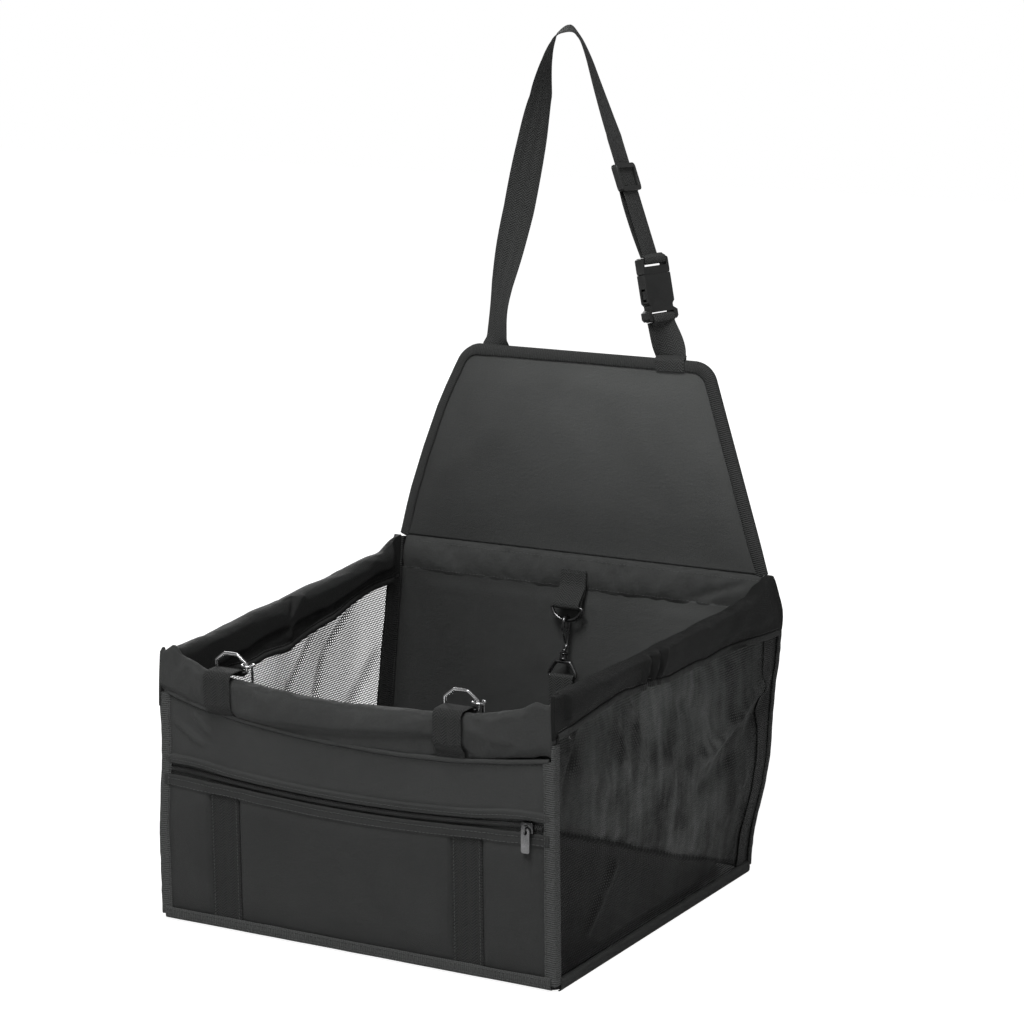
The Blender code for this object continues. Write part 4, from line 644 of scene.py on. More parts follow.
def reshape(piece, change):
    # change(points, outward directions) gives the points' new places
    mesh = piece.data
    points = np.empty(len(mesh.vertices) * 3)
    normals = np.empty(len(mesh.vertices) * 3)
    mesh.vertices.foreach_get("co", points)
    mesh.vertices.foreach_get("normal", normals)
    points = change(points.reshape(-1, 3), normals.reshape(-1, 3))
    mesh.vertices.foreach_set("co", points.ravel())
    mesh.update()


def face_tree(piece):
    graph = bpy.context.evaluated_depsgraph_get()
    return BVHTree.FromObject(piece, graph)


# ---------------------------------------------------------------- front wall

STRAP_X = {"left": -0.130, "right": 0.116}
LOOP_X = {"left": -0.1264, "right": 0.106}


def sag(x):
    return np.clip(1 - (2 * np.asarray(x, float) / 0.4) ** 2, 0, 1)


def rim_low(x):
    return 0.2026 - 0.022 * sag(x)


def rim_depth(x):
    return 0.013 + 0.010 * sag(x)


def welt_height(x):
    # The seam where the rim's sleeve joins the wall
    return 0.2059 - 0.0163 * sag(x) - 0.029 * np.asarray(x, float)


def zip_height(x):
    return 0.1400 - 0.0085 * np.clip(1 - (np.asarray(x, float) / 0.170) ** 2, 0, 1) ** 1.15


def slit(x):
    # Half the opening between the folds, wide enough for the slider at both ends
    return 0.0036 + 0.0016 * blend01((np.abs(x) - 0.120) / 0.035)


def beside(x, places):
    # The distance from the nearer of two places along the wall
    return np.minimum(np.abs(x - places["left"]), np.abs(x - places["right"]))


def strap_free(x, edge=0.0150, run=0.014):
    # 0 under the lower straps, 1 away from them
    return blend01((beside(x, STRAP_X) - edge) / run)


def pocket_face(x, z):
    # How far the pocket's cloth stands out, as a local y
    top = zip_height(x) - slit(x)
    down = top - z
    free = strap_free(x)
    side = blend01((0.197 - np.abs(x)) / 0.022)
    foot = blend01(z / 0.035)
    high = blend01(down / 0.022)
    puff = 0.0030 * (0.75 + 0.5 * soft_noise(x / 0.075, z / 0.09, 3))
    puff = puff + 0.0013 * soft_noise(x / 0.026 + z / 0.05, z / 0.060, 4)
    channel = 0.0030 * blend01((beside(x, STRAP_X) - 0.0148) / 0.0040)
    channel = channel * (1 - 0.5 * blend01((beside(x, STRAP_X) - 0.030) / 0.030))
    body = -0.0030 - (puff * free + channel) * side * foot * (0.25 + 0.75 * high)
    lap = blend01((0.0112 - down) / 0.0012)
    over = np.maximum(-body, 0.0052 - 0.0016 * strap_free(x, 0.0155, 0.006)) + 0.0015
    return body * (1 - lap) - over * lap


def upper_face(x, z):
    foot = zip_height(x) + slit(x)
    top = welt_height(x)
    share = np.clip((z - foot) / (top - foot), 0, 1)
    side = blend01((0.197 - np.abs(x)) / 0.020)
    bulge = 0.0088 * sag(x) * share ** 1.5
    gather = soft_noise(x / 0.017, z / 0.30, 7) * 0.6 + soft_noise(x / 0.0085, z / 0.2, 8) * 0.35
    puff = 0.0012 * gather * share ** 1.6 + 0.0014 * (1 + soft_noise(x / 0.06, z / 0.05, 9)) * side
    lift = z - foot
    left = ridge(x, z, -186, 186, -148, 166, 4, 2.2)
    left = left + ridge(x, z, -160, 196, -140, 176, 3.5, 1.8)
    puff = (puff + left) * blend01(lift / 0.012)
    lap = 0.0018 * blend01((0.0085 - lift) / 0.0012)
    return -0.0030 - bulge - puff * side - lap


def panel_grid(face, low, high, columns, rows, folded):
    # A cloth panel between two heights that depend on x, with its top or foot rolled inward
    roll = 0.0012
    x = np.linspace(-0.196, 0.196, columns)
    bottoms, tops = low(x), high(x)
    grid = []
    for share in np.linspace(0, 1, rows):
        z = bottoms + (tops - bottoms) * share
        grid.append(stacked(x, face(x, z), z))
    edge, way = (tops, 1) if folded == "top" else (bottoms, -1)
    for turn in (0.35, 0.8, 1.2, 1.57):
        row = stacked(x, face(x, edge) + roll * (1 - cos(turn)), edge + way * roll * sin(turn))
        grid.insert(len(grid) if way > 0 else 0, row)
    return grid


def front_row(heights, face, end=0.193):
    # A line of stitches on a front panel, at a height that depends on x
    x = np.arange(-end, end, 0.002)
    return row_on(FRONT, stacked(x, face(x, heights(x)) - 0.0003, heights(x)))


def make_front_panels():
    grid = panel_grid(pocket_face, lambda x: 0.0028 + 0 * x,
                      lambda x: zip_height(x) - slit(x) - 0.0012, 210, 110, "top")
    pocket = grid_piece("pocket_cloth", grid, POCKET_CLOTH, wall=FRONT)
    settle(pocket, "front_wall", "fabric", "pocket_panel")
    grid = panel_grid(upper_face, lambda x: zip_height(x) + slit(x) + 0.0012,
                      lambda x: welt_height(x) + 0.0006, 230, 60, "foot")
    upper = grid_piece("upper_cloth", grid, WALL_CLOTH, wall=FRONT)
    settle(upper, "front_wall", "fabric", "front_upper_panel")

    # The welt: a flat-felled seam under the rim
    x = np.linspace(-0.196, 0.196, 200)
    shares = np.array([-1, -0.92, -0.55, 0, 0.55, 0.92, 1])
    grid = []
    for share, rise in zip(shares, (0.0, 0.75, 1.0, 0.93, 1.0, 0.75, 0.0)):
        z = welt_height(x) + share * 0.0019 + 0.0003 * soft_noise(x / 0.02, share, 11)
        grid.append(stacked(x, upper_face(x, z) - rise * 0.0018, z))
    layout = stacked(x, (shares * 0.0019)[:, None])
    settle(grid_piece("rim_welt", grid, WALL_CLOTH, 0.0006, layout, FRONT), "front_wall", "fabric")

    rows = [front_row(lambda x: zip_height(x) - slit(x) - 0.0036, pocket_face),
            front_row(lambda x: zip_height(x) - slit(x) - 0.0090, pocket_face),
            front_row(lambda x: zip_height(x) + slit(x) + 0.0036, upper_face),
            front_row(lambda x: welt_height(x) - 0.0034, upper_face, 0.194)]
    settle(stitch_piece("front_stitches", rows), "front_wall", "fabric")


def make_front_inside():
    foam = hard_piece("front_wall_foam", "front_foam", "front_wall", FOAM, "foam", 0.0010)
    x = np.linspace(-0.195, 0.195, 130)
    low, high = 0.0085, rim_low(x) + 0.0150
    grid = []
    for share in np.linspace(0, 1, 70):
        z = low + (high - low) * share
        wavy = 0.0013 * (1 + soft_noise(x / 0.05, z / 0.11, 21)) * blend01((0.195 - np.abs(x)) / 0.02)
        grid.append(stacked(x, 0.0044 + wavy * blend01((high - z) / 0.02), z))
    lining = grid_piece("front_lining_cloth", grid, LINING_CLOTH, wall=FRONT, flip=True)
    settle(lining, "front_wall", "fabric", "front_lining")


def refit(piece, node, wall, axes):
    # Brings a padded piece back to its solid's own reach along some axes of its wall
    back = wall.inverted()
    solid = frame["nodes"][node].data
    goal = np.empty(len(solid.vertices) * 3)
    solid.vertices.foreach_get("co", goal)
    goal = placed(back, goal.reshape(-1, 3))

    def fitted(points, normals):
        local = placed(back, points)
        for axis in axes:
            low, high = local[:, axis].min(), local[:, axis].max()
            share = (local[:, axis] - low) / (high - low)
            local[:, axis] = goal[:, axis].min() + share * np.ptp(goal[:, axis])
        return placed(wall, local)

    reshape(piece, fitted)


RIM_CREST = mm(((-196, -186, -176, -160, -146, -100, 0, 50, 88, 126, 150, 172, 184, 192),
                (3, 10, 3.5, 2.4, 0, 0, 0.6, 1.8, 0, -1.6, -0.6, 0.4, 5, 3)))
RIM_CREASE = ((-0.2, -0.100, -0.075, -0.050, 0.060, 0.088, 0.100, 0.2),
              (0.04, 0.05, 0.09, 0.16, 0.42, 0.46, 0.20, 0.06))


def rim_face(x, z):
    # How far out the rim's sleeve may reach: flat up to a crease, and a soft roll above it
    low, high = welt_height(x), rim_low(x) + RIM_HIGH
    share = np.clip((z - low) / (high - low), 0, 1)
    flat = 0.0034 + 0.0088 * sag(x)
    over = rim_depth(x) - 0.0027 - flat
    over = over * (1 - 0.45 * blend01((np.abs(x) - 0.130) / 0.06))
    rolled = blend01((share - np.interp(x, *RIM_CREASE) + 0.06) / 0.26)
    return flat + over * (0.22 + 0.78 * rolled)


def squared(value, ends, across, middle):
    # Opens a section that a rounded end has drawn in
    near = np.minimum(value - ends[0], ends[1] - value)
    share = np.clip(near / 0.012, 0.02, 1)
    return middle + (across - middle) / np.maximum(np.sqrt(1 - (1 - share) ** 2), 0.42)


def make_front_rim():
    rim = solid_copy("front_rim_roll", "front_rim", RIM_CLOTH)
    back = FRONT.inverted()

    def held(points):
        local = placed(back, points)
        inner = blend01((local[:, 1] + 0.0035) / 0.004)
        foot = blend01((rim_low(local[:, 0]) + 0.007 - local[:, 2]) / 0.005)
        loop = blend01((0.0160 - beside(local[:, 0], LOOP_X)) / 0.004)
        return np.maximum(np.maximum(inner, foot), loop * 0.9)

    padding(rim, 0.0042, 3.0, 0.012, 0.0035, held, 0.0010)
    refit(rim, "front_rim", FRONT, (0, 2))

    def shape(points, normals):
        local = placed(back, points)
        x = local[:, 0]
        low, middle = rim_low(x), rim_low(x) + 0.0225
        ends = (x.min(), x.max())
        z = np.clip(squared(x, ends, local[:, 2], middle), low, low + RIM_HIGH)
        y = np.clip(squared(x, ends, local[:, 1], -0.005), 0.0027 - rim_depth(x), 0.0026)
        out = placed(back, points + normals * 0.001) - local
        up = (z - low) / RIM_HIGH
        near = beside(x, LOOP_X)
        loop = blend01((0.0185 - near) / 0.005)
        pinch = blend01((0.034 - near) / 0.016) * (1 - loop)
        face_on = blend01((-y - 0.003) / 0.006)
        far = 0.0007 * soft_noise(x / 0.050, up * 0.9, 31) + 0.0004 * soft_noise(x / 0.019, up * 1.4, 32)
        far += 0.0006 * pinch * soft_noise(x / 0.0060, up * 0.6, 33)
        far += blend01((np.abs(x) - 0.165) / 0.02) * 0.0007 * soft_noise(x / 0.0080, up * 0.6, 34)
        far += 0.00035 * soft_noise(x / 0.0042, up * 0.4, 35) * blend01((up - 0.5) / 0.4)
        far = far + ridge(x, z, 110, 222, 165, 214, 5, 0.9)
        far = far + ridge(x, z, -186, 214, -160, 243, 4, 1)
        local = np.stack([x, y, z], -1) + out * (far * (1 - loop) * face_on * 1000)[:, None]
        # The sleeve's face: drawn in below the crease, and behind the wall's cloth below the seam
        x, z = local[:, 0], local[:, 2]
        reach = rim_face(x, z) + 0.6 * far * (1 - loop)
        reach = reach - 0.0022 * loop
        under = blend01((welt_height(x) - z) / 0.0016)
        reach = reach * (1 - under) + (0.0010 + 0.0088 * sag(x) * 0.6) * under
        local[:, 1] = np.clip(local[:, 1], -reach, 0.0026)
        # Its crest follows the photo's edge, and both front corners stand up
        lift = np.interp(x, *RIM_CREST) * blend01((up - 0.45) / 0.5) * (1 - loop)
        local[:, 2] = local[:, 2] + lift - 0.0008 * loop * blend01((up - 0.6) / 0.4)
        return placed(FRONT, local)

    reshape(rim, shape)
    finish_with(rim, "SMOOTH", factor=0.35, iterations=2)
    settle(rim, "front_wall", "fabric", "front_rim")
    return rim


def corner_swell(z):
    # The right rear corner's cloth stands out from the board
    return np.interp(z, *mm([(0, 20, 40, 61, 85, 108.5, 154.5, 205, 230, 244, 262, 279),
                             (0, 0, 1.4, 5.0, 9.6, 12.0, 11.6, 13.4, 13.8, 11.6, 4.5, 1.0)]))


def corner_tape(name, wall, side, heights, body, node, material):
    # Ribbed tape folded round a corner seam, flat on the wall and on the net beside it
    outward = -1 if wall is FRONT else 1
    section = mm([(8.8, 3.1), (8.6, 4.1), (7.6, 4.6), (4.4, 4.7), (2.2, 5), (0.4, 5.6), (-1.2, 5.2),
                   (-2.2, 3.6), (-2.6, 1.4), (-2.7, -1.2), (-2.8, -3.4), (-2, -4.4)])
    inner = mm([(3, -3.4), (2.8, -4.2), (2.4, -5.4), (1.2, -6)])
    z = np.linspace(heights[0], heights[1], 130)[:, None]
    edge = 0.1988 + (corner_swell(z) if wall is REAR and side > 0 else 0)
    widest = np.where(z > heights[2], 0.0004, 0.1)
    pieces = []
    for strip, (shape, turned_to) in enumerate(((section, 1), (inner, -1))):
        a, b = np.array(shape).T
        wobble = 0.0007 * soft_noise(z / 0.022, strip, 41) + 0.0003 * soft_noise(z / 0.006, 1, 42)
        x = side * (edge + wobble * 0.6 - np.minimum(a, widest) - wobble * (a > 0.006))
        grid = stacked(x, outward * (b + wobble * 0.5), z)
        pieces.append(grid_piece(name, grid, material, 0.0008, stacked(run_lengths(shape), z), wall,
                                 side * outward * turned_to > 0))
    settle(join_all(name, pieces), body, "webbing", node)
    line = stacked(side * (edge - 0.0072), outward * 0.0052, z)[z < heights[2]]
    settle(stitch_piece(name + "_stitches", [row_on(wall, line, (0, outward, 0))]), body, "webbing")


def make_side_foot(side, name):
    # A dark tape binds the net's foot to the base
    y = np.linspace(-0.186, 0.187, 160)
    section = mm([(199.4, 9.8), (200.4, 10), (201.4, 9.2), (201.9, 5.2), (201.6, 1.6), (200.6, 0.4),
                   (199.4, 0.3)])
    swell = 0.0008 * soft_noise(y / 0.030, side, 46) + 0.0005 * soft_noise(y / 0.009, side, 47)
    grid = [stacked(side * (a + swell * (a > 0.2010) * 0.5), y, b + swell * (b > 0.005))
            for a, b in section]
    tape = grid_piece("side_foot_tape_" + name, grid, SIDE_TAPE, 0.0008,
                      stacked(run_lengths(section)[:, None], y), flip=side < 0)
    settle(tape, "seat_box", "webbing")


def make_foot_tape():
    # A ribbed tape binds the pocket's foot along the base
    x = np.linspace(-0.1965, 0.1965, 200)
    section = mm([(10, 4.9), (9.8, 5.8), (8.8, 6.3), (5, 6.4), (1.2, 6.2), (-0.4, 5.2), (-1, 3.6),
                   (-1, 2)])
    grid = []
    for height, depth in section[::-1]:
        wobble = 0.0004 * soft_noise(x / 0.02, height * 100, 45)
        grid.append(stacked(x, -depth - wobble * 0.5, height + wobble * (height > 0.006)))
    tape = grid_piece("front_foot_tape", grid, TAPE, 0.0008, stacked(run_lengths(section)[::-1, None], x),
                      FRONT)
    settle(tape, "front_wall", "webbing")
    lines = [row_on(FRONT, stacked(x, -0.0066, height)) for height in (0.0024, 0.0084)]
    settle(stitch_piece("foot_tape_stitches", lines), "front_wall", "webbing")


def make_zip():
    x = np.linspace(-0.195, 0.195, 130)
    grid = [stacked(x, -0.0026 + 0.0004 * (abs(offset) < 0.004), zip_height(x) + offset)
            for offset in np.linspace(-0.0105, 0.0105, 9)]
    tape = grid_piece("zip_tape_cloth", grid, WEBBING, 0.0008, wall=FRONT)
    settle(tape, "front_wall", "webbing", "zip_tape")

    # Two rows of coil teeth, each a low rounded bar that leans to its neighbour
    bar = [(-1, -0.4), (-0.6, -1), (0.6, -1), (1, -0.4), (1, 0.4), (0.6, 1), (-0.6, 1), (-1, 0.4)]
    points, faces = [], []
    pitch = 0.0017
    for k in range(int(0.380 / pitch)):
        cx = -0.190 + (k + 0.5) * pitch
        for row in (-1, 1):
            cz = float(zip_height(cx)) + row * 0.00085
            faces += ring_faces(len(points), 3, len(bar))
            for level, size in ((0.0, 1.0), (0.0008, 1.0), (0.0014, 0.55)):
                for a, b in bar:
                    points.append((cx + a * 0.00062 * size + b * row * 0.0003 + row * pitch / 4,
                                   -0.0030 - level, cz + b * 0.00135 * size))
    mesh = new_mesh("zip_teeth", placed(FRONT, points), faces)
    faces_out(mesh)
    teeth = new_piece("zip_teeth", mesh, PLASTIC)
    smooth_edges(teeth, 35)
    settle(teeth, "front_wall", "plastic", "zip_chain")

    hard_piece("slider_body", "zip_slider", "zip_slider", DARK_WIRE, "dark_steel", 0.00035)
    hard_piece("slider_pull", "zip_pull", "zip_pull", PULL_WIRE, "dark_steel", 0.0003)


def make_front_webbing():
    lines = []
    for name, cx in STRAP_X.items():
        z = np.linspace(0.0062, float(zip_height(cx) - slit(cx)) - 0.0035, 60)
        strap = band_piece("pocket_strap_" + name, stacked(cx, -0.0040, z), (1, 0, 0), BAND, BAND_THICK,
                           DARK_WEBBING, FRONT)
        settle(strap, "front_wall", "webbing", "front_strap_" + name)
        lines += [row_on(FRONT, stacked(x, -0.0049, z)) for x in (cx - 0.0125, cx + 0.0125)]
        make_rim_loop(name, lines)
    settle(stitch_piece("strap_stitches", lines, 0.0026), "front_wall", "webbing")


def loop_path(x):
    # From the seam up the rim's face, over its top and round the ring's bar behind it
    wrap, off = 0.0016 + GAP + 0.0007, GAP + 0.0007
    half, corner, shoulder = 0.01375, 0.0060, 0.0040
    face = min(0.0027 - float(rim_depth(x - half)), 0.0027 - float(rim_depth(x + half))) - off
    top = max(float(rim_low(x - half)), float(rim_low(x + half))) + RIM_HIGH + off
    low, back = float(welt_height(x)) - 0.0012, 0.0027 + off + 0.0012
    path = []
    for z in np.linspace(low, top - corner - 0.001, 18):
        reach = float(rim_face(x, np.array(z))) + 0.0004
        path.append((max(face, -reach), z))
    path += arc_points((path[-1][0] + corner, top - corner), corner, pi, pi / 2, 10)
    path += arc_points((back - shoulder, top - shoulder), shoulder, pi / 2, 0, 8)
    path += arc_points((back + wrap, top - 0.0040), wrap, pi, radians(441), 22)[1:]
    return np.array([(x, y, z) for y, z in path])


def make_rim_loop(name, lines):
    local = loop_path(LOOP_X[name])
    loop = band_piece("rim_webbing_" + name, local, (1, 0, 0), LOOP_BAND, BAND_THICK, DARK_WEBBING, FRONT)
    settle(loop, "front_wall", "webbing", "rim_loop_" + name)
    out = np.cross(directions(local), (1.0, 0, 0))
    for x in (-0.0115, 0.0115):
        line = placed(FRONT, (local + out * 0.0009 + (x, 0, 0))[1:26])
        lines.append((line, out[1:26] @ np.array(FRONT.to_3x3()).T))


# ---------------------------------------------------------------- sides

RIM_TOPS = {"left": (0.2490, 0.2670), "right": (0.2580, 0.2680)}
RIM_HEMS = {"left": (0.1990, 0.2280), "right": (0.2100, 0.2260)}
CREASE_Y = (-0.190, -0.113, -0.031, 0.037, 0.146, 0.196)
CREASE_Z = (0.1400, 0.1130, 0.0820, 0.0570, 0.0220, 0.0100)
NET_FOLDS = {"right": ((-34, 154, -64, 224, 6, 5), (-64, 150, -90, 224, 7, 3.4),
                       (245, 211, 169, 170, 6, 5.2), (169, 170, 65, 134, 6, 5.6),
                       (220, 180, 150, 135, 9, -4), (150, 135, 60, 108, 9, -3.6),
                       (65, 137, 85, 152, 5, 3), (-137, 224, -181, 165, 6, -4.6),
                       (-137, 34, -108, 63, 6, 3), (-108, 63, -88, 88, 5.5, 3),
                       (20, 205, 110, 165, 12, -3.6), (0, 170, 30, 100, 10, 3),
                       (160, 110, 120, 60, 10, 3), (-150, 185, -95, 150, 10, 3.2)),
             "left": ((135, 226, 81, 188, 4, 3), (81, 190, 66, 140, 4.6, 2.6),
                      (60, 215, 20, 165, 4, 2), (20, 175, 10, 130, 5, 1.8),
                      (-60, 190, -10, 120, 9, -1.6), (180, 170, 120, 120, 8, 1.8),
                      (-120, 150, -70, 110, 8, 1.6))}


def rim_share(y):
    return np.clip((np.asarray(y, float) + 0.188) / 0.400, 0, 1)


def rim_level(levels, y):
    return levels[0] + (levels[1] - levels[0]) * rim_share(y)


HEM_SHIFTS = {"right": ((-200, -138, -78, -40, 9, 112, 222), (10, 14, 17, 13, 7, 2, -3)),
              "left": ((-200, -86, 11, 81, 154, 222), (0, -2, -7.5, 0, 7, 4))}


def hem_level(name, y):
    return rim_level(RIM_HEMS[name], y) + np.interp(y, *mm(HEM_SHIFTS[name]))


def net_ends(z, inset):
    # Where both walls stand at a height, drawn in by an inset
    return (-WALL_Y - 0.0209 * (z - HINGE_Z) + inset, WALL_Y + 0.1405 * (z - HINGE_Z) - inset)


def along_side(piece):
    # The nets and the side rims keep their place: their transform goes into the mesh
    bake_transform(piece)


def net_offset(name, y, z):
    # How far the net stands out from its plane
    front, rear = net_ends(z, 0.0028)
    along = np.clip((y - front) / (rear - front), 0, 1)
    up = np.clip((z - 0.0084) / (hem_level(name, y) - 0.0084), 0, 1)
    bow = 0.006 * 16 * along * (1 - along) * up * (1 - up)
    if name == "right":
        bow = bow + corner_swell(z) * along ** 3
    edge = blend01(np.minimum(along, 1 - along) / 0.05) * blend01(np.minimum(up, 1 - up) / 0.06)
    folds = 0.0012 * soft_noise(y / 0.045, z / 0.05, 51) + 0.0005 * soft_noise(y / 0.016, z / 0.02, 52)
    return bow + (folds + ridges(y, z, NET_FOLDS[name])) * edge


def make_net(side, name, low_part):
    # A knitted net: six-sided cells, each a ring of thin strands round an open middle
    pitch_y, pitch_z = 0.00250, 0.00225
    c, r = np.meshgrid(np.arange(0, int(0.425 / pitch_y)), np.arange(0, int(0.225 / pitch_z)))
    y = -0.192 + (c + 0.5 * (r % 2)) * pitch_y
    z = 0.0070 + r * pitch_z
    crease = np.interp(y, CREASE_Y, CREASE_Z)
    front, rear = net_ends(z, 0.0016)
    inside = (y > front) & (y < rear) & (z < hem_level(name, y) + 0.0020)
    inside &= (z < crease + 0.0006) if low_part else (z > crease - 0.0022)
    y, z = y[inside], z[inside]
    # The holes open wider towards the rear edge and the front tip, and close along the folds
    hole = 0.49 + 0.05 * soft_noise(y / 0.035, z / 0.070, 55) + 0.12 * blend01((y - 0.110) / 0.045)
    hole = hole + 0.08 * blend01((0.010 - y) / 0.030) * blend01((z - 0.170) / 0.02)
    hole = hole - ridges(y, z, [(*fold[:4], fold[4] * 0.9, 130) for fold in NET_FOLDS[name]])
    across = np.array((0, 0.5, 0.5, 0, -0.5, -0.5)) * pitch_y
    up = np.array((2, 1, -1, -2, -1, 1)) / 3 * pitch_z
    ring_y = y[:, None] + np.hstack([across * np.ones((len(y), 1)), across * hole[:, None]])
    ring_z = z[:, None] + np.hstack([up * np.ones((len(y), 1)), up * hole[:, None]])
    out = net_offset(name, ring_y, ring_z)
    away = ring_z - np.interp(ring_y, CREASE_Y, CREASE_Z)
    open_part = blend01((0.130 - ring_y) / 0.060)
    if low_part:
        out = out + (0.0030 * np.exp(-((away + 0.0050) / 0.0052) ** 2)
                     - 0.0012 * np.exp(-(away / 0.002) ** 2)) * open_part
    else:
        out = out - 0.0026 * np.exp(-(np.clip(away, 0, 1) / 0.0060) ** 2) * open_part
    out = out + np.repeat((0.00012, -0.00012), 6)
    points = stacked(side * (SIDE_X + out), ring_y, ring_z)
    here = np.arange(6)
    after = (here + 1) % 6
    first, second = (here, after) if side < 0 else (after, here)
    quad = np.stack([first, second, 6 + second, 6 + first], -1)
    quads = (np.arange(len(y)) * 12)[:, None, None] + quad
    label = "side_net_" + name + ("_lower" if low_part else "_upper")
    mesh = new_mesh(label, points, quads.reshape(-1, 4).tolist())
    mesh.shade_smooth()
    # The lower part takes the yarn with painted shade
    net = new_piece(label, mesh, SHADED_NET_YARN if low_part else NET_YARN)
    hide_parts("side_net_" + name)
    if low_part:
        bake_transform(net)
    else:
        along_side(net)


def make_net_edge(side, name):
    # A gathered strip of cloth binds the net's rear edge on both faces
    z = np.linspace(0.0100, 0.2560, 150)[:, None]
    across = np.linspace(0, 1, 26)[None, :]
    rear = net_ends(z, 0.0016)[1]
    y = rear - 0.0235 * (1 - across) * (1 + 0.08 * soft_noise(z / 0.020, 0.5, 57 + side))
    z = np.minimum(z + 0 * y, hem_level(name, y) + 0.0030)
    gather = 0.0008 * soft_noise(y / 0.0046, z / 0.060, 58 + side) * (1 - across) * across * 4
    for direction, label in ((1, "outer"), (-1, "inner")):
        out = net_offset(name, y, z) + direction * (0.0014 + gather)
        along_side(grid_piece("net_edge_" + name + "_" + label, stacked(side * (SIDE_X + out), y, z),
                              SIDE_TAPE, 0.0006, stacked(y, z), flip=side * direction < 0))


RIM_FOLDS = {"right": ((-45, 216, -40, 262, 4, 3.4), (-26, 218, -22, 264, 3.4, 3.4),
                       (-13, 222, -4, 262, 3.4, 3), (-35, 216, -31, 262, 3, -3.4),
                       (-19, 218, -13, 262, 2.8, -3), (20, 222, 200, 236, 10, -1.8),
                       (-170, 230, -70, 250, 11, 1.6), (120, 226, 160, 262, 8, 1.6)),
             "left": ((-140, 208, -62, 222, 4.2, -4.4), (-62, 222, 2, 230, 4.2, -5),
                      (2, 230, 72, 229, 4.2, -5), (72, 229, 190, 240, 4.2, -5),
                      (-80, 212, 30, 217, 3, 3), (30, 217, 130, 232, 3, 3),
                      (34, 256, 15, 240, 3.6, 4.4), (15, 240, 7, 222, 3.6, 4),
                      (20, 254, 4, 238, 3.4, -3), (150, 262, 188, 248, 4, 3.6))}


def make_side_rim(side, name):
    # The right rim takes the cloth with painted shade
    rim = solid_copy("side_rim_roll_" + name, "side_rim_" + name,
                     SIDE_CLOTH if side < 0 else SHADED_RIM_CLOTH)
    hems, tops = RIM_HEMS[name], RIM_TOPS[name]

    def held(points):
        y, z = points[:, 1], points[:, 2]
        hem = blend01((rim_level(hems, y) + 0.008 - z) / 0.006)
        ends = blend01((0.012 - np.minimum(y + 0.183, 0.207 - y)) / 0.010)
        return np.maximum(hem, ends)

    padding(rim, 0.0045, 3.0, 0.015, 0.0035, held, 0.0010)
    refit(rim, "side_rim_" + name, Matrix(), (1, 2))

    def shape(points, normals):
        y = points[:, 1]
        ends = (y.min(), y.max())
        low, high = rim_level(hems, y), rim_level(tops, y)
        z = np.clip(squared(y, ends, points[:, 2], (low + high) / 2), low, high)
        x = np.clip(squared(y, ends, side * points[:, 0], SIDE_X), 0.1835, 0.2125)
        up = (z - low) / (high - low)
        outer = blend01((x - 0.1965) / 0.003)
        seen = outer if name == "right" else 1 - outer
        # A flat sleeve: its faces are drawn in, most of all at the hem
        x = SIDE_X + (x - SIDE_X) * (0.42 + 0.28 * blend01(up / 0.7))
        wavy = 0.0009 * soft_noise(y / 0.055, up * 0.9 + outer * 3, 61 + side)
        wavy += 0.0004 * soft_noise(y / 0.018, up * 1.6 + outer * 3, 62 + side)
        crimp = 0.0004 * soft_noise(y / 0.0065, up * 0.6 + outer * 3, 63 + side)
        wavy += crimp * blend01((0.40 - up) / 0.3)
        wavy = wavy + ridges(y, z, RIM_FOLDS[name]) * seen
        x = x + np.where(x > SIDE_X, 1, -1) * wavy
        # The ends reach round the corners, and the crest and hem follow their edges
        y = y - 0.0165 * blend01((-0.150 - y) / 0.033) + 0.0120 * blend01((y - 0.172) / 0.035)
        rise = (0.0110 if name == "right" else 0.0096) * blend01((y - 0.180) / 0.035)
        rise = rise + 0.0012 * soft_noise(y / 0.04, 0.3, 65 + side)
        z = z + rise * up + np.interp(y, *mm(HEM_SHIFTS[name])) * (1 - up)
        z = z + 0.0012 * soft_noise(y / 0.030, 0.2, 64) * (1 - up)
        inner = 0.1900 + 0.0088 * blend01((-0.176 - y) / 0.008) + 0.0080 * blend01((y - 0.196) / 0.008)
        x = np.maximum(x, inner)
        limit = 0.2026 if name == "right" else 0.2010
        x = np.minimum(x, 0.2150 - (0.2150 - limit) * blend01((-0.170 - y) / 0.012))
        if name == "right":
            x = x + corner_swell(z) * blend01((y - 0.120) / 0.095)
        return np.stack([side * x, y, z], -1)

    reshape(rim, shape)
    finish_with(rim, "SMOOTH", factor=0.35, iterations=2)
    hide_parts("side_rim_" + name)
    along_side(rim)

    # A folded hem along the sleeve's foot, and the seam above it, on both faces
    tree = face_tree(rim)
    section = mm(((5.6, 0), (5.4, 1), (3.6, 1.5), (1.4, 1.4), (0, 0.8), (-0.4, -1.2)))
    rows = []
    for direction, label in ((side, "outer"), (-side, "inner")):
        line, out, grid, layout = [], [], [], []
        for at in np.linspace(-0.194, 0.214, 230):
            foot = float(hem_level(name, at)) + 0.0012 * float(soft_noise(at / 0.030, 0.2, 64))
            origin = Vector((side * SIDE_X + direction * 0.05, at, foot + 0.0058))
            hit, normal, _, _ = tree.ray_cast(origin, Vector((-direction, 0, 0)), 0.08)
            if hit is None:
                continue
            line.append(hit + normal * 0.0002 + Vector((0, 0, 0.0016)))
            out.append(normal)
            grid.append([(hit.x + direction * b, at, foot + a) for a, b in section])
            layout.append([(a, at) for a, _ in section])
        rows.append((line, out))
        along_side(grid_piece("side_rim_hem_" + name + "_" + label, grid, SIDE_TAPE, 0.0007, layout,
                              flip=direction < 0))
    along_side(stitch_piece("side_rim_stitches_" + name, rows))


